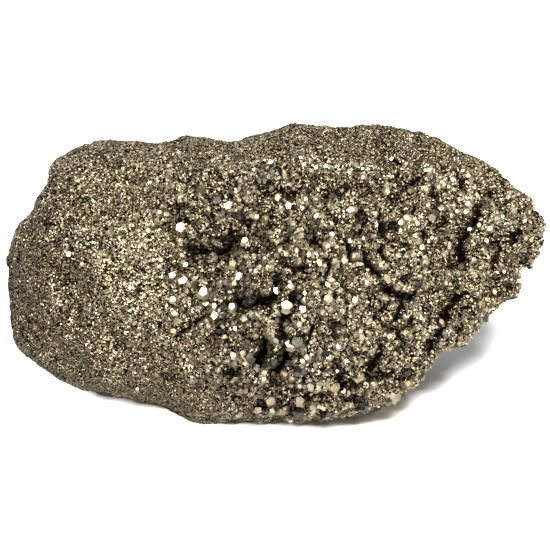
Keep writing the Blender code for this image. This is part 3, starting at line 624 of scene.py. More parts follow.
def hashed(cells, salt):
    """A steady number from 0 to 1 for each lattice cell, mixed from its three whole numbers."""
    whole = cells.astype(np.int64)
    mixed = whole[..., 0] * 73856093 ^ whole[..., 1] * 19349663 ^ whole[..., 2] * 83492791
    mixed = (mixed ^ salt * 668265263) & 0x7FFFFFFF
    mixed = ((mixed ^ (mixed >> 13)) * 1274126177) & 0x7FFFFFFF
    return ((mixed ^ (mixed >> 16)) & 0xFFFFFF) / 0xFFFFFF


def smooth_noise(points, size, salt):
    """Random heights from -1 to 1: numbers on a lattice of that size, blended along S-curves."""
    places = points / size
    low = np.floor(places)
    share = smooth_step(0.0, 1.0, places - low)
    total = np.zeros(points.shape[:-1])
    for corner in np.ndindex(2, 2, 2):
        weight = np.prod(np.where(corner, share, 1.0 - share), axis=-1)
        total += weight * hashed(low + corner, salt)
    return 2.0 * total - 1.0


def nearest_seeds(points, size, salt):
    """Random seeds, one in each lattice cell: the vector from the nearest one, its cell, and the lead
    that it has on the second nearest, all in cell sizes."""
    places = points / size
    low = np.floor(places)
    nearest = np.full(points.shape[:-1], 9.0)
    second = nearest.copy()
    offset = np.zeros(points.shape)
    home = np.zeros(points.shape)
    for step in np.ndindex(3, 3, 3):
        cell = low + np.array(step) - 1
        seed = cell + np.stack([hashed(cell, salt + axis) for axis in range(3)], axis=-1)
        apart = places - seed
        gap = np.linalg.norm(apart, axis=-1)
        closer = gap < nearest
        second = np.where(closer, nearest, np.minimum(second, gap))
        offset = np.where(closer[..., None], apart, offset)
        home = np.where(closer[..., None], cell, home)
        nearest = np.minimum(nearest, gap)
    return offset, home, second - nearest


def clusters(points, size, salt, edge=0.55):
    """Domes packed side by side: 1 inside each cell, falling to 0 where two cells meet."""
    _, _, lead = nearest_seeds(points, size, salt)
    return smooth_step(0.0, edge, lead)


def tilted_cells(points, size, salt):
    """Flat cells, each tilted its own way: the offset from the seed times the cell's random slope."""
    offset, home, _ = nearest_seeds(points, size, salt)
    slope = np.stack([hashed(home, salt + 3 + axis) for axis in range(3)], axis=-1) - 0.5
    return 2.0 * size * np.sum(offset * slope, axis=-1)


def ring_values(place):
    """The ring table read at any place along it, by a smooth curve through its rows (Catmull-Rom).

    Past each end the table goes on with its own rows turned over, which makes both ends round.
    """
    rows = np.array(RINGS_MM)
    turn = np.array((1.0, 1.0, 1.0, 1.0, 1.0, -1.0))
    turned = rows[[1, -2]][:, [2, 3, 0, 1, 4, 5]] * turn
    table = np.vstack([turned[:1], rows, turned[1:]])
    row = np.clip(np.floor(place).astype(int), 0, LAST_ROW - 1)
    share = (place - row)[..., None]
    a, b, c, d = (table[row + step] for step in range(4))
    bend = (2 * a - 5 * b + 4 * c - d) * share**2 + (3 * b - a - 3 * c + d) * share**3
    return 0.5 * (2 * b + (c - a) * share + bend)


def loft(place, angle):
    """The smooth body on the front map: rings that are superellipses through their top and bottom."""
    up, back = np.cos(angle), np.sin(angle)
    blend = BLEND_SHARE * smooth_step(*BLEND_FADE, np.abs(back))
    blend = blend * smooth_step(0.0, BLEND_END_ROWS, place)
    blend = (blend * smooth_step(0.0, BLEND_END_ROWS, LAST_ROW - place))[..., None]
    before = ring_values(np.clip(place - BLEND_ROWS, 0.0, LAST_ROW))
    after = ring_values(np.clip(place + BLEND_ROWS, 0.0, LAST_ROW))
    values = (1.0 - blend) * ring_values(place) + blend * (before + after) / 2
    x_top, h_top, x_low, h_low, behind, half = np.moveaxis(values, -1, 0)
    boxy = (np.abs(up) ** RING_POWER + np.abs(back) ** RING_POWER) ** (-1.0 / RING_POWER)
    up = up * boxy
    x = (x_top + x_low) / 2 + (x_top - x_low) / 2 * up
    h = (h_top + h_low) / 2 + (h_top - h_low) / 2 * up
    return x, h, behind + half * back * boxy


def to_stone(x, h, d):
    """Front-map points in space: spread with distance from the eye, then leaned back."""
    spread = (EYE_MM + d) / EYE_MM
    up = MAP_MIDDLE_H_MM + (h - MAP_MIDDLE_H_MM) * spread
    y = up * math.sin(LEAN) + d * math.cos(LEAN)
    z = up * math.cos(LEAN) - d * math.sin(LEAN)
    return np.stack([x * spread, y, z], axis=-1)


def to_map(points):
    """The front map's x, h and d of points in space: the way back from to_stone."""
    x, y, z = np.moveaxis(points - SHIFT_MM, -1, 0)
    d = y * math.cos(LEAN) - z * math.sin(LEAN)
    up = y * math.sin(LEAN) + z * math.cos(LEAN)
    spread = (EYE_MM + d) / EYE_MM
    return x / spread, MAP_MIDDLE_H_MM + (up - MAP_MIDDLE_H_MM) / spread, d


def outward(place, angle):
    """The smooth body's normal: the cross product of its slopes along and round."""
    along = to_stone(*loft(place + STEP, angle)) - to_stone(*loft(place - STEP, angle))
    round_it = to_stone(*loft(place, angle + STEP)) - to_stone(*loft(place, angle - STEP))
    normal = np.cross(along, round_it)
    return normal / np.maximum(np.linalg.norm(normal, axis=-1, keepdims=True), 1e-12)


def distance_to_chain(x, h, chain):
    """How far each map point is from a chain of straight lines."""
    nearest = np.full(x.shape, FAR_MM)
    for (x0, h0), (x1, h1) in zip(chain[:-1], chain[1:]):
        along_x, along_h = x1 - x0, h1 - h0
        share = ((x - x0) * along_x + (h - h0) * along_h) / (along_x**2 + along_h**2)
        share = np.clip(share, 0.0, 1.0)
        gap = np.hypot(x - x0 - share * along_x, h - h0 - share * along_h)
        nearest = np.minimum(nearest, gap)
    return nearest


def dome(gap, radius):
    """1 in the middle, falling along an S-curve to 0 at the radius."""
    return 1.0 - smooth_step(0.0, radius, gap)


def grid_to_map(column, row):
    """The x and h of a column and row of the fine grid."""
    return (column - GRID_ORIGIN[0]) * GRID_MM, (GRID_ORIGIN[1] - row) * GRID_MM


def narrow_relief(x, h, points):
    """What clumps add and creases and holes take away on the front, and how much shade is painted on each
    spot along them.

    The last result is how far each spot is from the nearest edge of a crease or hole.
    """
    ragged = [CREASE_RAGGED_MM * smooth_noise(points, CREASE_WAVE_MM, salt) for salt in (71, 72)]
    x, h = x + ragged[0], h + ragged[1]
    added, gap = np.zeros(x.shape), np.zeros(x.shape)
    for column, row, radius in CLUMPS:
        at_x, at_h = grid_to_map(column, row)
        radius = radius * GRID_MM
        share = np.hypot(x - at_x, h - at_h) / radius
        added = np.maximum(added, CLUMP_STEEPNESS * radius * (1.0 - smooth_step(*CLUMP_SIDE, share)))
    cut, beside = np.zeros(x.shape), np.full(x.shape, FAR_MM)
    for half_width, depth, chain in CREASES:
        apart = distance_to_chain(x, h, [grid_to_map(*spot) for spot in chain])
        half_width = (half_width + CREASE_EXTRA) * GRID_MM
        beside = np.minimum(beside, apart - half_width)
        apart = apart / half_width
        cut = np.maximum(cut, depth * dome(apart, CREVICE_SPREAD))
        gap = np.maximum(gap, 1.0 - smooth_step(*CREASE_CORE_SHADE, apart))
    for column, row, radius in HOLES:
        at_x, at_h = grid_to_map(column, row)
        apart = np.hypot(x - at_x, h - at_h)
        beside = np.minimum(beside, apart - radius * GRID_MM)
        apart = apart / (radius * GRID_MM)
        cut = np.maximum(cut, HOLE_DEPTH_MM * dome(apart, PIT_SPREAD))
        gap = np.maximum(gap, 1.0 - smooth_step(*CREASE_CORE_SHADE, apart))
    return added - cut, gap, beside


def dark_faces():
    """The x, h and width on the map of the dark faces."""
    return tuple((*grid_to_map(column, row), DARK_WIDTH * half * GRID_MM)
                 for column, row, half, _ in DARK_FACES)


def tan_faces():
    """The x, h and width on the map of the tan faces and the plates."""
    plates = [(*grid_to_map(column, row), 2.0 * half * GRID_MM) for column, row, half in PLATES]
    return TAN_FACES_MM + tuple(plates)


def shown_faces():
    """The x, h and width on the map of every face that is placed one by one."""
    return BRIGHT_FACES_MM + tan_faces() + dark_faces()


def coarseness(x, h):
    """1 in the coarse part, and 0 in the fine-grained left part and the band along the top."""
    right = smooth_step(-COARSE_FADE_MM, COARSE_FADE_MM, x - COARSE_FROM_X_MM + COARSE_SLANT * h)
    return right * (1.0 - smooth_step(*TOP_BAND_H_MM, h))


def crystal_share(x, h, points):
    """How thickly crystals lie: 1 in the coarse part, fading slowly and unevenly into the fine part."""
    wide, narrow = (smooth_noise(points, size, salt) for salt, size in enumerate(WANDER_SIZES_MM, 61))
    wander = CRYSTAL_WANDER_MM * (wide + NARROW_WAVE * narrow)
    right = x - COARSE_FROM_X_MM + COARSE_SLANT * h + wander
    right = smooth_step(-CRYSTAL_FADE_MM, RIGHT_FADE * CRYSTAL_FADE_MM, right)
    return right * (1.0 - BAND_BARE * smooth_step(*TOP_BAND_H_MM, h + BAND_WANDER * wander))


def on_front(angle):
    """1 on the front, and 0 on the other sides."""
    return smooth_step(*FRONT_FADE, -np.sin(angle))


def off_outline(angle):
    """0 along the outline, and 1 away from it."""
    return smooth_step(*OUTLINE_FADE, np.abs(np.sin(angle)))


def crevice_core_shade(x, h, angle):
    """Painted shade: 1 along the middle of each crevice, crack and pit of the front, and 0 from its edge
    outwards.
    """
    core = np.zeros(x.shape)
    for half_width, _, chain in CREVICES_MM + CRACKS_MM:
        core = np.maximum(core, dome(distance_to_chain(x, h, chain), CORE_WIDTH * half_width))
    for pit_x, pit_h, radius, _ in PITS_MM:
        core = np.maximum(core, dome(np.hypot(x - pit_x, h - pit_h), CORE_WIDTH * radius))
    depth = CORE_WHERE_FINE + (1.0 - CORE_WHERE_FINE) * coarseness(x, h)
    return core * on_front(angle) * depth


def relief(x, h, angle, points):
    """How far the solid's surface stands out of the smooth body, in millimetres."""
    facing, inside = on_front(angle), off_outline(angle)
    raised = np.full(x.shape, -INSET_MM)
    for half_width, depth, chain in CREVICES_MM:
        raised -= facing * depth * dome(distance_to_chain(x, h, chain), CREVICE_SPREAD * half_width)
    for pit_x, pit_h, radius, depth in PITS_MM:
        raised -= facing * depth * dome(np.hypot(x - pit_x, h - pit_h), PIT_SPREAD * radius)
    for knob_x, knob_h, radius, height in KNOBS_MM:
        raised += facing * height * dome(np.hypot(x - knob_x, h - knob_h), KNOB_SPREAD * radius)
    for place_x, place_y, place_z, radius, height in OTHER_SIDES_MM:
        gap = np.linalg.norm(points - (place_x, place_y, place_z), axis=-1)
        raised += (1.0 - facing) * height * dome(gap, HUMP_SPREAD * radius)
    for salt, (size, height, kept) in enumerate(LUMPS_MM):
        raised += (kept + (1.0 - kept) * inside) * height * smooth_noise(points, size, salt)
    clustered = CLUSTER_HEIGHT_MM * (clusters(points, CLUSTER_MM, 20) - CLUSTER_MEAN)
    clustered *= CLUSTER_WHERE_FINE + (1.0 - CLUSTER_WHERE_FINE) * coarseness(x, h)
    raised += (CLUSTER_AT_OUTLINE + (1.0 - CLUSTER_AT_OUTLINE) * inside) * clustered
    return raised


def fine_relief(x, h, angle, points):
    """What the dressed surface adds to the solid's, and how much shade is painted on each spot in the narrow
    gaps between knots, from 0 to 1.

    It adds knots of crystals, which are domes with narrow gaps between them, and tilted flat cells.
    """
    coarse = coarseness(x, h)
    knots = clusters(points, KNOT_MM, 40, KNOT_EDGE)
    cells = CELL_STEEPNESS * tilted_cells(points, CELL_MM, 50)
    added = KNOT_HEIGHT_MM * (knots - KNOT_MEAN)
    added = coarse * (added + cells) + (1.0 - coarse) * KNOT_WHERE_FINE * added
    added = (FINE_AT_OUTLINE + (1.0 - FINE_AT_OUTLINE) * off_outline(angle)) * added
    for salt, (size, height) in enumerate(ROUGH_MM, 80):
        added += height * smooth_noise(points, size, salt)
    return added, KNOT_GAP_SHADE * (1.0 - knots) * coarse


def unit(vectors):
    """The same vectors at length 1."""
    return vectors / np.maximum(np.linalg.norm(vectors, axis=-1, keepdims=True), 1e-12)


def even_places(rings):
    """Places along the stone at even distances, averaged over four lines along it, and closer together
    by RIGHT_EXTRA on its right."""
    fine = np.linspace(0.0, LAST_ROW, FINE_STEPS)
    steps = np.zeros(len(fine) - 1)
    for quarter in range(4):
        line = to_stone(*loft(fine, np.full(fine.shape, quarter * math.pi / 2)))
        steps += np.linalg.norm(np.diff(line, axis=0), axis=1)
    x, _, _ = loft(fine[1:], np.full(len(steps), -math.pi / 2))
    steps *= 1.0 + RIGHT_EXTRA * smooth_step(*LEFT_END_X_MM, x)
    travelled = np.concatenate([[0.0], np.cumsum(steps)])
    return np.interp(np.linspace(0.0, travelled[-1], rings + 2), travelled, fine)


def even_angles(columns):
    """Angles round the middle ring at even distances, closer together by FRONT_EXTRA on the front."""
    fine = np.linspace(-math.pi, math.pi, FINE_STEPS)
    ring = to_stone(*loft(np.full(fine.shape, LAST_ROW / 2), fine))
    middle = (fine[1:] + fine[:-1]) / 2
    steps = np.linalg.norm(np.diff(ring, axis=0), axis=1)
    steps *= 1.0 + FRONT_EXTRA * smooth_step(*FRONT_EXTRA_FADE, -np.sin(middle))
    travelled = np.concatenate([[0.0], np.cumsum(steps)])
    return np.interp(np.linspace(0.0, travelled[-1], columns + 1), travelled, fine)[:-1]


@functools.lru_cache
def ground(rings, columns):
    """The surface on a grid of rings and columns: its points, and each grid cell's edges and facts."""
    place = even_places(rings)
    place, angle = np.meshgrid(place, even_angles(columns), indexing="ij")
    x, h, d = loft(place, angle)
    points = to_stone(x, h, d)
    normal = outward(place, angle)
    solid = points + normal * relief(x, h, angle, points)[..., None]
    added, gap = fine_relief(x, h, angle, points)
    x, h, _ = to_map(solid + SHIFT_MM)
    core = crevice_core_shade(x, h, angle)
    facing = on_front(angle)
    for half_width, depth, chain in CRACKS_MM:
        added -= facing * depth * dome(distance_to_chain(x, h, chain), CREVICE_SPREAD * half_width)
    for half_width, height, chain in LEDGES_MM:
        added += facing * height * dome(distance_to_chain(x, h, chain), CREVICE_SPREAD * half_width)
    for at_x, at_h, radius, height in OUTLINE_HUMPS_MM:
        added += height * dome(np.hypot(x - at_x, h - at_h), HUMP_SPREAD * radius)
    narrow, narrow_shade, beside = narrow_relief(x, h, points)
    # How much shade is painted on each spot: between knots, in crevice cores, and along creases and holes.
    gap = np.maximum(np.maximum(gap, core), facing * narrow_shade)
    to_eye = unit(eye_point() - SHIFT_MM - solid)
    points = solid + normal * added[..., None] + to_eye * (facing * narrow)[..., None]
    points[..., 2] = np.maximum(points[..., 2], 0.0)
    points = points + SHIFT_MM
    along = np.diff(points, axis=0)
    across = (np.roll(points, -1, axis=1) - points)[:-1]
    normal = np.cross(along, across)
    area = np.linalg.norm(normal, axis=-1)
    x, h, _ = to_map(points[:-1])
    facing = -np.sin(angle[:-1])
    free = (1.0 - gap[:-1]) * (points[:-1, :, 2] > SPOTS_FROM_Z_MM)
    for at_x, at_h, width in shown_faces():
        free[(np.hypot(x - at_x, h - at_h) < FACE_FREE * width) & (facing > ON_FRONT)] = 0.0
    beside = np.where(facing > CREASES_SHOW, beside[:-1], FAR_MM)
    return types.SimpleNamespace(
        points=points, along=along, across=across, normal=unit(normal), area=area, x=x, h=h,
        facing=facing, gap=gap, free=free, beside=beside, share=crystal_share(x, h, points[:-1]),
    )


def new_piece(name, points, faces, material, values=None):
    """A mesh piece from points in millimetres and faces, flat shaded, riding on the stone's body."""
    mesh = bpy.data.meshes.new(name)
    mesh.from_pydata(points * MM, [], faces)
    mesh.materials.append(material)
    for key, numbers in (values or {}).items():
        domain = "POINT" if len(numbers) == len(points) else "FACE"
        mesh.attributes.new(key, "FLOAT", domain).data.foreach_set("value", numbers.astype(np.float32))
    mesh.update()
    piece = bpy.data.objects.new(name, mesh)
    bpy.context.scene.collection.objects.link(piece)
    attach(piece, BODY)
    return piece


def mass_faces(rings, columns):
    """Quads between neighbouring rings, and a fan of triangles to the point at each end."""
    row, column = np.meshgrid(np.arange(rings - 1), np.arange(columns), indexing="ij")
    beside = (column + 1) % columns
    quads = np.stack(
        [row * columns + column, (row + 1) * columns + column,
         (row + 1) * columns + beside, row * columns + beside], axis=-1
    ).reshape(-1, 4)
    first, last = rings * columns, rings * columns + 1
    column = np.arange(columns)
    beside = (column + 1) % columns
    low = np.stack([np.full(columns, first), column, beside], axis=-1)
    top = (rings - 1) * columns
    high = np.stack([np.full(columns, last), top + beside, top + column], axis=-1)
    return quads.tolist() + low.tolist() + high.tolist()


def cube_corners():
    """The eight corners of a cube of radius 1."""
    return np.array([(a, b, c) for a in (-1, 1) for b in (-1, 1) for c in (-1, 1)]) / math.sqrt(3.0)


def pyritohedron_corners(roof):
    """The 20 corners of a pyritohedron of radius 1: a cube's eight, and two over each cube face."""
    corners = [(a, b, c) for a in (-1, 1) for b in (-1, 1) for c in (-1, 1)]
    ridge, reach = 1.0 - roof**2, 1.0 + roof
    for a in (-1, 1):
        for b in (-1, 1):
            corners.append((0.0, a * reach, b * ridge))
            corners.append((a * ridge, 0.0, b * reach))
            corners.append((a * reach, b * ridge, 0.0))
    return np.array(corners) / math.sqrt(3.0)


def face_directions(slope):
    """The outward directions of a cube (slope 0, six of them) or of a pyritohedron (twelve)."""
    found = set()
    for a in (-1.0, 1.0):
        for b in (-slope, slope):
            for turn in range(3):
                found.add(tuple(np.roll((b, a, 0.0), turn) + 0.0))
    return unit(np.array(sorted(found)))


def solid_faces(corners, directions):
    """Each face of a convex solid: the corners farthest along a direction, in order round it."""
    faces = []
    for direction in directions:
        reach = corners @ direction
        on_face = np.flatnonzero(reach > reach.max() - 1e-6)
        spokes = corners[on_face] - corners[on_face].mean(axis=0)
        across = np.cross(direction, spokes[0])
        order = np.argsort(np.arctan2(spokes @ across, spokes @ spokes[0]))
        faces.append(on_face[order])
    return faces


def solid_of(corners, slope):
    """Corners, faces and face directions of a cube or a pyritohedron."""
    directions = face_directions(slope)
    return corners, solid_faces(corners, directions), directions


def cube():
    """A cube, which has six faces."""
    return solid_of(cube_corners(), 0.0)


def pyritohedron():
    """A pyritohedron, which has twelve faces, each a pentagon."""
    return solid_of(pyritohedron_corners(ROOF), ROOF)


def cube_corner():
    """A cube's corner cut off as a low pyramid, with its point along +Z: three faces and a base."""
    angles = np.arange(3) * 2 * math.pi / 3
    base = np.stack([np.cos(angles), np.sin(angles), np.zeros(3)], axis=-1)
    corners = np.vstack([base, (0.0, 0.0, 1.0 / math.sqrt(2.0))])
    faces = [np.array(face) for face in ((0, 1, 3), (1, 2, 3), (2, 0, 3), (2, 1, 0))]
    return corners, faces, None


def crossed(first, second):
    """Right-handed axes with +Z along first, turned so that +X is nearest second: stacked columns."""
    z = unit(first)
    x = unit(second - z * np.sum(second * z, axis=-1, keepdims=True))
    return np.stack([x, np.cross(z, x), z], axis=-1)


def random_directions(draw, count):
    """Unit vectors drawn evenly from all directions."""
    return unit(draw.normal(size=(count, 3)))


def random_turns(draw, count):
    """Rotations drawn evenly from all of them."""
    return crossed(random_directions(draw, count), random_directions(draw, count))


def crystals(name, solid, middles, radii, turns, material, values):
    """Many turned and sized copies of one solid, joined in one mesh. Nothing reaches under the floor."""
    corners, faces, _ = solid
    points = middles[:, None] + radii[:, None, None] * np.einsum("nij,kj->nki", turns, corners)
    points[..., 2] = np.maximum(points[..., 2], 0.0)
    starts = np.arange(len(middles))[:, None] * len(corners)
    all_faces = [corner for face in faces for corner in (starts + face).tolist()]
    values = {key: np.tile(numbers, len(faces)) for key, numbers in values.items()}
    new_piece(name, points.reshape(-1, 3), all_faces, material, values)


def looks_of(draw, count, polished):
    """What the material reads for each crystal: its tone, and its dullness, 0 for a polished share."""
    bare = draw.random(count) < polished
    dull = np.where(bare, 0.0, DULL_LEAST + (1.0 - DULL_LEAST) * draw.random(count))
    return {"tone": draw.random(count), "dull": dull}


def scatter(land, weight, tries, spacing, most, seed):
    """Random spots on the ground, drawn by area times weight, and one at most in each lattice cell.

    Gives the spots and their outward directions.
    """
    draw = np.random.default_rng(seed)
    chance = np.cumsum((land.area * weight).ravel())
    cell = np.searchsorted(chance, draw.random(tries) * chance[-1])
    share_along, share_across = draw.random((2, tries, 1))
    corner = land.points[:-1].reshape(-1, 3)[cell]
    spots = corner + share_along * land.along.reshape(-1, 3)[cell]
    spots = spots + share_across * land.across.reshape(-1, 3)[cell]
    box = np.floor(spots / spacing).astype(np.int64)
    key = (box[:, 0] * LATTICE_WIDTH + box[:, 1]) * LATTICE_WIDTH + box[:, 2]
    _, first = np.unique(key, return_index=True)
    first = np.sort(first)[:most]
    return spots[first], land.normal.reshape(-1, 3)[cell[first]]


def scattered_crystals(name, solid, usual, weight, spots_drawn, radii_drawn, sink):
    """Copies of one solid on the ground, turned every way, each sunk in by a share of its radius."""
    _, land = settings_and_ground()
    spots, normals = scatter(land, weight, *spots_drawn)
    draw = np.random.default_rng(spots_drawn[-1] + 1)
    count = len(spots)
    middle, spread, largest = radii_drawn
    radii = usual * np.minimum(np.exp(draw.normal(middle, spread, count)), largest)
    middles = spots - sink * radii[:, None] * normals
    turns = random_turns(draw, count)
    crystals(name, solid, middles, radii, turns, crystal_material(), looks_of(draw, count, 0.0))


def shader_node(tree, kind, inputs=None, **settings):
    """A new shader node with its settings, and its inputs given as values or as other nodes' outputs."""
    node = tree.nodes.new(kind)
    for key, value in settings.items():
        setattr(node, key, value)
    for key, value in (inputs or {}).items():
        if isinstance(value, bpy.types.NodeSocket):
            tree.links.new(value, node.inputs[key])
        else:
            node.inputs[key].default_value = value
    return node


def number_of(tree, operation, first, second):
    """What a sum, a product or a comparison of two shader numbers gives."""
    inputs = {0: first, 1: second}
    return shader_node(tree, "ShaderNodeMath", inputs, operation=operation).outputs["Value"]


def vector_of(tree, operation, inputs):
    """What a vector operation gives."""
    return shader_node(tree, "ShaderNodeVectorMath", inputs, operation=operation).outputs["Vector"]


def ranged(tree, inputs, **settings):
    """A shader number brought from one range to another."""
    return shader_node(tree, "ShaderNodeMapRange", inputs, **settings).outputs["Result"]


def mixed(tree, share, first, second):
    """A colour from the first to the second by a share from 0 to 1."""
    inputs = {"Factor": share, "A": first, "B": second}
    settings = {"data_type": "RGBA", "clamp_factor": True}
    return shader_node(tree, "ShaderNodeMix", inputs, **settings).outputs["Result"]


def new_group(name, inputs, outputs):
    """An empty shader node group with the named sockets, what it is given, and where its results go."""
    group = bpy.data.node_groups.new(name, "ShaderNodeTree")
    for socket, kind, default in inputs:
        made = group.interface.new_socket(socket, in_out="INPUT", socket_type=kind)
        made.default_value = default
    for socket, kind in outputs:
        group.interface.new_socket(socket, in_out="OUTPUT", socket_type=kind)
    given, results = group.nodes.new("NodeGroupInput"), group.nodes.new("NodeGroupOutput")
    return group, given.outputs, results.inputs


def facet_group():
    """Shader group: small flat cells, each turned its own way and with its own shade and polish; a share of
    cells, and the spots that the gap attribute marks, are painted near-black as shade.
    """
    found = bpy.data.node_groups.get("pyrite_facets")
    if found:
        return found
    group, given, results = new_group(
        "pyrite_facets",
        (("Cells per Metre", "NodeSocketFloat", 1400.0), ("Tilt", "NodeSocketFloat", 0.5),
         ("Clean", "NodeSocketColor", (0.5, 0.45, 0.35, 1.0)),
         ("Tarnish and Painted Black", "NodeSocketColor", (0.3, 0.25, 0.16, 1.0)),
         ("Painted Shade", "NodeSocketColor", (0.03, 0.02, 0.01, 1.0)),
         ("Tone", "NodeSocketFloat", 0.5), ("Dull", "NodeSocketFloat", 0.5),
         ("Gap", "NodeSocketFloat", 0.0), ("Shade Speck Share", "NodeSocketFloat", 0.1),
         ("Polished Share", "NodeSocketFloat", 0.1),
         ("Smoothest", "NodeSocketFloat", 0.12), ("Roughest", "NodeSocketFloat", 0.6),
         ("Darkest Cell", "NodeSocketFloat", 0.5), ("Brightest Cell", "NodeSocketFloat", 1.4)),
        (("Color", "NodeSocketColor"), ("Metallic", "NodeSocketFloat"), ("Roughness", "NodeSocketFloat"),
         ("Normal", "NodeSocketVector")),
    )
    place = shader_node(group, "ShaderNodeTexCoord").outputs["Object"]
    facing = shader_node(group, "ShaderNodeNewGeometry").outputs["Normal"]
    inputs = {"Vector": place, "Scale": given["Cells per Metre"]}
    settings = {"voronoi_dimensions": "3D", "feature": "F1"}
    cell = shader_node(group, "ShaderNodeTexVoronoi", inputs, **settings).outputs["Color"]
    centred = vector_of(group, "SUBTRACT", {0: cell, 1: (0.5, 0.5, 0.5)})
    tilt = vector_of(group, "SCALE", {0: centred, "Scale": given["Tilt"]})
    turned = vector_of(group, "ADD", {0: facing, 1: tilt})
    normal = vector_of(group, "NORMALIZE", {0: turned})
    parts = shader_node(group, "ShaderNodeSeparateColor", {"Color": cell}).outputs
    inputs = {"Vector": place, "Scale": PATCHES_PER_METRE, "Detail": PATCH_DETAIL}
    patches = shader_node(group, "ShaderNodeTexNoise", inputs, noise_dimensions="3D").outputs["Fac"]
    inputs = {"Value": patches, "From Min": PATCH_EDGE[0], "From Max": PATCH_EDGE[1]}
    # The share from clean to tarnished, which for the dark faces is painted black instead of tarnish.
    tarnish_and_painted_black_share = number_of(group, "ADD", given["Tone"], ranged(group, inputs, clamp=True))
    tarnish_and_painted_black_share = number_of(group, "MULTIPLY", tarnish_and_painted_black_share, 0.5)
    metal = mixed(group, tarnish_and_painted_black_share, given["Clean"], given["Tarnish and Painted Black"])
    inputs = {"Value": parts["Blue"], "To Min": given["Darkest Cell"], "To Max": given["Brightest Cell"]}
    shaded = vector_of(group, "SCALE", {0: metal, "Scale": ranged(group, inputs)})
    # Painted shade: a share of the cells, and what the gap attribute marks, take the shade colour and stop
    # being metal.
    in_gap = number_of(group, "LESS_THAN", parts["Red"], given["Shade Speck Share"])
    gap = number_of(group, "MAXIMUM", in_gap, given["Gap"])
    colour = mixed(group, gap, shaded, given["Painted Shade"])
    bare = number_of(group, "LESS_THAN", gap, SHADE_NOT_METAL_FROM)
    unpolished = number_of(group, "GREATER_THAN", parts["Green"], given["Polished Share"])
    rough = number_of(group, "MULTIPLY", unpolished, given["Dull"])
    inputs = {"Value": rough, "To Min": given["Smoothest"], "To Max": given["Roughest"]}
    rough = ranged(group, inputs)
    for key, value in (("Color", colour), ("Metallic", bare), ("Roughness", rough), ("Normal", normal)):
        group.links.new(value, results[key])
    return group


def pyrite_material(name, look, colours=None):
    """Brassy metal broken into small facets, with painted shade where the gap attribute says."""
    found = bpy.data.materials.get(name)
    if found:
        return found
    settings = bpy.context.scene.pyrite_specimen
    clean, tarnish_and_painted_black = colours or (settings.pyrite_colour, settings.tarnish_colour)
    cells_per_metre, tilt, gap_share, polished_share, smoothest, roughest, contrast = look
    material = bpy.data.materials.new(name)
    material.use_nodes = True
    tree = material.node_tree
    shader = tree.nodes["Principled BSDF"].inputs
    shader["Specular IOR Level"].default_value = 0.0
    values = {
        "Cells per Metre": cells_per_metre, "Tilt": tilt, "Shade Speck Share": gap_share,
        "Polished Share": polished_share, "Smoothest": smoothest, "Roughest": roughest,
        "Darkest Cell": 1.0 - contrast, "Brightest Cell": 1.0 + contrast,
        "Clean": (*clean, 1.0), "Tarnish and Painted Black": (*tarnish_and_painted_black, 1.0),
        "Painted Shade": (*settings.painted_shade_colour, 1.0),
    }
    for key in ("tone", "dull", "gap"):
        values[key.title()] = shader_node(tree, "ShaderNodeAttribute", attribute_name=key).outputs["Fac"]
    facets = shader_node(tree, "ShaderNodeGroup", values, node_tree=facet_group()).outputs
    for key, result in (("Base Color", "Color"), ("Metallic", "Metallic"), ("Roughness", "Roughness"),
                        ("Normal", "Normal")):
        tree.links.new(facets[result], shader[key])
    return material


def crystal_material():
    """The material of the scattered crystals."""
    settings = bpy.context.scene.pyrite_specimen
    colours = settings.crystal_colour, settings.dull_colour
    return pyrite_material("pyrite_crystals", CRYSTAL_LOOK, colours)


def settings_and_ground():
    """The settings, and the ground that they give."""
    settings = bpy.context.scene.pyrite_specimen
    return settings, ground(settings.rings, settings.columns)


class PYRITE_OT_mass(bpy.types.Operator):
    """Make the craggy mass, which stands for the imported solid"""

    bl_idname = "pyrite.mass"
    bl_label = "Mass"

    def execute(self, context):
        settings, land = settings_and_ground()
        draw = np.random.default_rng(1)
        inner = land.points[1:-1]
        off_floor = smooth_step(0.0, 1.0, inner[..., 2:])
        jitter = GRAIN_JITTER_MM * draw.normal(size=inner.shape) * off_floor
        ends = np.stack([land.points[0].mean(axis=0), land.points[-1].mean(axis=0)])
        points = np.vstack([(inner + jitter).reshape(-1, 3), ends])
        points[:, 2] = np.maximum(points[:, 2], 0.0)
        material = pyrite_material("pyrite_mass_skin", MASS_LOOK)
        # Painted shade on the mass skin: a little everywhere, more between knots and in crevice, crease and
        # hole cores.
        least, most = MASS_SHADE
        gap = least + (most - least) * land.gap[1:-1].ravel()
        values = looks_of(draw, len(points), 0.0)
        values["gap"] = np.concatenate([gap, [0.5, 0.5]])
        faces = mass_faces(len(inner), settings.columns)
        piece = new_piece("craggy_mass", points, faces, material, values)
        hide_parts(NODE)
        return {"FINISHED"}


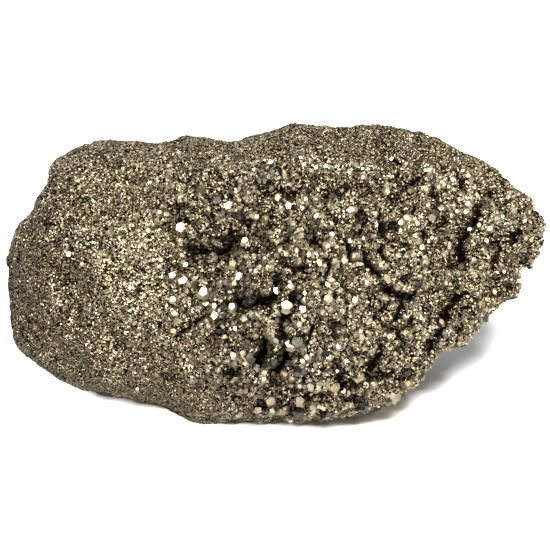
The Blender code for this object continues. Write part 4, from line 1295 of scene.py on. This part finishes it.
class PYRITE_OT_grains(bpy.types.Operator):
    """Scatter fine grains, each the corner of a small cube, over the whole surface"""

    bl_idname = "pyrite.grains"
    bl_label = "Fine Grains"

    def execute(self, context):
        settings, land = settings_and_ground()
        usual = settings.grain / MM
        material = pyrite_material("pyrite_grains", GRAIN_LOOK)
        on_side = (1.0 - GRAINS_THINNED_BACK) + GRAINS_THINNED_BACK * smooth_step(*BACK_FADE, land.facing)
        weight = (1.0 - GRAINS_THINNED_COARSE * coarseness(land.x, land.h)) * on_side
        spots, normals = scatter(land, weight * land.free, *GRAIN_SPOTS)
        draw = np.random.default_rng(GRAIN_SPOTS[-1] + 1)
        count = len(spots)
        radii = usual * np.exp(draw.normal(0.0, GRAIN_SPREAD, count))
        axis = unit(normals + GRAIN_ASTRAY * random_directions(draw, count))
        turns = crossed(axis, random_directions(draw, count))
        middles = spots - GRAIN_SINK * radii[:, None] * normals
        values = looks_of(draw, count, GRAINS_POLISHED)
        # Painted shade specks: some grains take the full shade colour, the rest a little of it at random.
        dark = draw.random(count) < settings.shade_speck_grains
        values["gap"] = np.where(dark, 1.0, 0.5 * draw.random(count) ** 2)
        third = np.argsort(np.argsort(middles[:, 0])) * 3 // count
        for part, name in enumerate(("grains_left", "grains_middle", "grains_right")):
            chosen = third == part
            crystals(name, cube_corner(), middles[chosen], radii[chosen], turns[chosen], material,
                     {key: numbers[chosen] for key, numbers in values.items()})
        return {"FINISHED"}


class PYRITE_OT_small_crystals(bpy.types.Operator):
    """Scatter small cubes, most of them over the coarse part"""

    bl_idname = "pyrite.small_crystals"
    bl_label = "Small Crystals"

    def execute(self, context):
        settings, land = settings_and_ground()
        usual = settings.small_crystal / MM
        thinned = 1.0 - SMALL_THINNED * smooth_step(*SMALL_THINS_X_MM, land.x)
        weight = (SMALL_EVERYWHERE + land.share * thinned) * land.free * (land.beside > SMALL_CLEAR * usual)
        scattered_crystals(
            "small_crystals", cube(), usual, weight, SMALL_SPOTS, SMALL_RADII, SMALL_SINK
        )
        return {"FINISHED"}


class PYRITE_OT_big_crystals(bpy.types.Operator):
    """Scatter big pyritohedra over the coarse part"""

    bl_idname = "pyrite.big_crystals"
    bl_label = "Big Crystals"

    def execute(self, context):
        settings, land = settings_and_ground()
        usual = settings.big_crystal / MM
        weight = land.share**2 * (1.0 - BIG_THINNED * smooth_step(*BIG_THINS_X_MM, land.x))
        above = land.points[:-1, :, 2] > BIG_FROM_Z_MM
        weight = weight * land.free * above * (land.beside > BIG_CLEAR * usual)
        scattered_crystals(
            "big_crystals", pyritohedron(), usual, weight, BIG_SPOTS, BIG_RADII, BIG_SINK
        )
        return {"FINISHED"}


def key_direction():
    """From the stone towards the main light."""
    level = math.cos(KEY_ELEVATION)
    return np.array((math.sin(KEY_AZIMUTH) * level, -math.cos(KEY_AZIMUTH) * level,
                     math.sin(KEY_ELEVATION)))


def eye_point():
    """Where the camera is, in millimetres: on the front map's eye, level with the map's middle."""
    up = MAP_MIDDLE_H_MM
    return np.array((CAMERA_RIGHT_MM, up * math.sin(LEAN) - EYE_MM * math.cos(LEAN),
                     up * math.cos(LEAN) + EYE_MM * math.sin(LEAN))) + SHIFT_MM


def placed_crystals(name, table, looks_at, material, seed, painted_black_tones=None):
    """Crystals at given map places, each with a face halfway between the eye and what it mirrors.

    The face lies just above the ground, and the crystal is stretched along it by a random share.
    """
    _, land = settings_and_ground()
    draw = np.random.default_rng(seed)
    front = land.facing > ON_FRONT
    points = land.points[:-1][front]
    normals = land.normal[front]
    x, h, _ = to_map(points)
    table = np.array(table) * (1.0, 1.0, FACE_GROWTH)
    nearest = [np.argmin(np.hypot(x - at_x, h - at_h)) for at_x, at_h, _ in table]
    spots, normals = points[nearest], normals[nearest]
    radii = table[:, 2] * RADIUS_PER_FACE
    count = len(table)
    solid = pyritohedron()
    face = solid[2][draw.integers(len(solid[2]), size=count)]
    halfway = unit(looks_at - spots) + unit(eye_point() - spots)
    looks = unit(halfway + FACE_ASTRAY * random_directions(draw, count))
    from_face = crossed(face, random_directions(draw, count))
    to_look = crossed(looks, random_directions(draw, count))
    turns = np.einsum("nij,nkj->nik", to_look, from_face)
    side = unit(np.cross(looks, random_directions(draw, count)))
    stretch = draw.uniform(*FACE_STRETCH, count)[:, None, None]
    turns = turns + (stretch - 1.0) * side[..., None] * np.einsum("ni,nij->nj", side, turns)[:, None]
    leaning = np.linalg.norm(np.cross(looks, normals), axis=-1)
    lift = FACE_LIFT_MM + FACE_LEAN_LIFT * table[:, 2] * leaning
    middles = spots + lift[:, None] * normals - FACE_DISTANCE * radii[:, None] * looks
    values = looks_of(draw, count, FACE_POLISHED)
    if painted_black_tones is not None:
        values["tone"] = np.array(painted_black_tones)
    crystals(name, solid, middles, radii, turns, material, values)


class PYRITE_OT_placed_crystals(bpy.types.Operator):
    """Place the crystals that stand out on the front, some bright, some tan and some dark, the dark ones
    painted dark as reflection and shade
    """

    bl_idname = "pyrite.placed_crystals"
    bl_label = "Placed Crystals"

    def execute(self, context):
        settings = bpy.context.scene.pyrite_specimen
        colours = settings.pyrite_colour, settings.tarnish_colour
        material = pyrite_material("pyrite_faces", FACE_LOOK, colours)
        key_point = KEY_DISTANCE / MM * key_direction() + np.array(AIM_MM)
        placed_crystals("bright_crystals", BRIGHT_FACES_MM, key_point, material, 9)
        placed_crystals("tan_crystals", tan_faces(), np.array(TAN_LOOKS_AT_MM), material, 10)
        # The dark faces' colour runs from a darkened pyrite to painted black: painted reflection of the dim
        # room, and painted shade.
        colours = settings.painted_dark_face_colour, (0.0, 0.0, 0.0)
        material = pyrite_material("pyrite_dark_faces", DARK_FACE_LOOK, colours)
        painted_black_tones = [PAINTED_BLACK_TONE * (1.0 - shade) for *_, shade in DARK_FACES]
        placed_crystals("dark_crystals", dark_faces(), eye_point(), material, 11, painted_black_tones)
        return {"FINISHED"}


def soft_light(name, direction, distance, size, watts, lit):
    """A rectangular soft light on the objects of one collection, which isn't seen itself."""
    light = bpy.data.lights.new(name, "AREA")
    light.shape = "RECTANGLE"
    light.size, light.size_y = size
    light.energy = watts
    lamp = bpy.data.objects.new(name, light)
    bpy.context.scene.collection.objects.link(lamp)
    aim = Vector(AIM_MM) * MM
    lamp.location = aim + Vector(direction).normalized() * distance
    lamp.rotation_euler = (aim - lamp.location).to_track_quat("-Z", "Y").to_euler()
    lamp.visible_camera = False
    lamp.light_linking.receiver_collection = lit


def floor_paper():
    """Pale paper that turns pure white away from the stone, and looks brighter than it lights the stone."""
    material = bpy.data.materials.new("floor_paper")
    material.use_nodes = True
    tree = material.node_tree
    tree.nodes.clear()
    place = shader_node(tree, "ShaderNodeTexCoord").outputs["Object"]
    away = shader_node(tree, "ShaderNodeVectorMath", {0: place}, operation="LENGTH").outputs["Value"]
    inputs = {"Value": away, "From Min": WHITE_FROM, "From Max": WHITE_TO}
    wash = ranged(tree, inputs, interpolation_type="SMOOTHSTEP")
    seen = shader_node(tree, "ShaderNodeLightPath").outputs["Is Camera Ray"]
    exposed = ranged(tree, {"Value": seen, "To Min": 1.0, "To Max": FLOOR_EXPOSURE})
    floor_colour = bpy.context.scene.pyrite_specimen.floor_colour
    colour = vector_of(tree, "SCALE", {0: floor_colour, "Scale": exposed})
    paper = shader_node(tree, "ShaderNodeBsdfDiffuse", {"Color": colour}).outputs["BSDF"]
    strength = number_of(tree, "MULTIPLY", wash, seen)
    glow = shader_node(tree, "ShaderNodeEmission", {"Strength": strength}).outputs["Emission"]
    both = shader_node(tree, "ShaderNodeAddShader", {0: paper, 1: glow}).outputs["Shader"]
    shader_node(tree, "ShaderNodeOutputMaterial", {"Surface": both})
    return material


def add_floor():
    """A wide pale disc, which the light washes out away from the stone."""
    angles = np.linspace(0.0, 2.0 * math.pi, FLOOR_CORNERS, endpoint=False)
    rim = np.stack([np.cos(angles), np.sin(angles), np.zeros(FLOOR_CORNERS)], axis=-1) * FLOOR_RADIUS
    mesh = bpy.data.meshes.new("floor")
    mesh.from_pydata(rim, [], [list(range(FLOOR_CORNERS))])
    mesh.materials.append(floor_paper())
    floor = bpy.data.objects.new("floor", mesh)
    bpy.context.scene.collection.objects.link(floor)
    return floor


def add_world():
    """A dim room for reflections, and plain white behind everything."""
    world = bpy.data.worlds.new("studio")
    bpy.context.scene.world = world
    world.use_nodes = True
    tree = world.node_tree
    tree.nodes.clear()
    seen = shader_node(tree, "ShaderNodeLightPath").outputs["Is Camera Ray"]
    inputs = {"Color": ROOM_COLOUR, "Strength": ROOM_STRENGTH}
    room = shader_node(tree, "ShaderNodeBackground", inputs).outputs["Background"]
    inputs = {"Color": (1.0, 1.0, 1.0, 1.0), "Strength": 1.0}
    white = shader_node(tree, "ShaderNodeBackground", inputs).outputs["Background"]
    either = shader_node(tree, "ShaderNodeMixShader", {"Fac": seen, 1: room, 2: white}).outputs["Shader"]
    shader_node(tree, "ShaderNodeOutputWorld", {"Surface": either})


def add_camera():
    """The view onto the best face, down along the front map's lean."""
    camera_data = bpy.data.cameras.new("camera")
    camera_data.lens = CAMERA_LENS
    camera_data.sensor_width = CAMERA_FILM
    camera_data.clip_end = 20.0
    camera = bpy.data.objects.new("camera", camera_data)
    bpy.context.scene.collection.objects.link(camera)
    camera.location = Vector(eye_point() * MM)
    look = Vector((0.0, math.cos(LEAN), -math.sin(LEAN)))
    camera.rotation_euler = look.to_track_quat("-Z", "Y").to_euler()
    bpy.context.scene.camera = camera


class PYRITE_OT_stage(bpy.types.Operator):
    """Add the floor, the lights and the camera"""

    bl_idname = "pyrite.stage"
    bl_label = "Stage"

    def execute(self, context):
        settings = context.scene.pyrite_specimen
        stone = bpy.data.collections.new("stone_pieces")
        for piece in context.scene.objects:
            if piece.type == "MESH":
                stone.objects.link(piece)
        paper = bpy.data.collections.new("floor_alone")
        paper.objects.link(add_floor())
        add_world()
        soft_light("key_light", key_direction(), KEY_DISTANCE, KEY_SIZE, settings.key_watts, stone)
        for light in STONE_LIGHTS:
            soft_light(*light, stone)
        for light in FLOOR_LIGHTS:
            soft_light(*light, settings.floor_watts / len(FLOOR_LIGHTS), paper)
        soft_light(*FLOOR_FILL, paper)
        add_camera()
        context.scene.view_settings.view_transform = "Standard"
        return {"FINISHED"}


class PYRITE_PT_panel(bpy.types.Panel):
    """Buttons and settings of the pyrite specimen"""

    bl_label = "Pyrite Specimen"
    bl_space_type = "VIEW_3D"
    bl_region_type = "UI"
    bl_category = "Pyrite"

    def draw(self, context):
        settings = context.scene.pyrite_specimen
        for key in PyriteSettings.__annotations__:
            self.layout.prop(settings, key)
        for operator in OPERATORS:
            self.layout.operator(operator.bl_idname)


OPERATORS = (
    PYRITE_OT_mass, PYRITE_OT_grains, PYRITE_OT_small_crystals, PYRITE_OT_big_crystals,
    PYRITE_OT_placed_crystals, PYRITE_OT_stage,
)
CLASSES = (PyriteSettings, *OPERATORS, PYRITE_PT_panel)


def register():
    for cls in CLASSES:
        bpy.utils.register_class(cls)
    bpy.types.Scene.pyrite_specimen = bpy.props.PointerProperty(type=PyriteSettings)


def unregister():
    del bpy.types.Scene.pyrite_specimen
    for cls in reversed(CLASSES):
        bpy.utils.unregister_class(cls)


def main():
    """Registers the add-on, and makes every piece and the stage."""
    register()
    bpy.ops.pyrite.mass()
    bpy.ops.pyrite.grains()
    bpy.ops.pyrite.small_crystals()
    bpy.ops.pyrite.big_crystals()
    bpy.ops.pyrite.placed_crystals()
    bpy.ops.pyrite.stage()


if __name__ == "__main__":
    main()
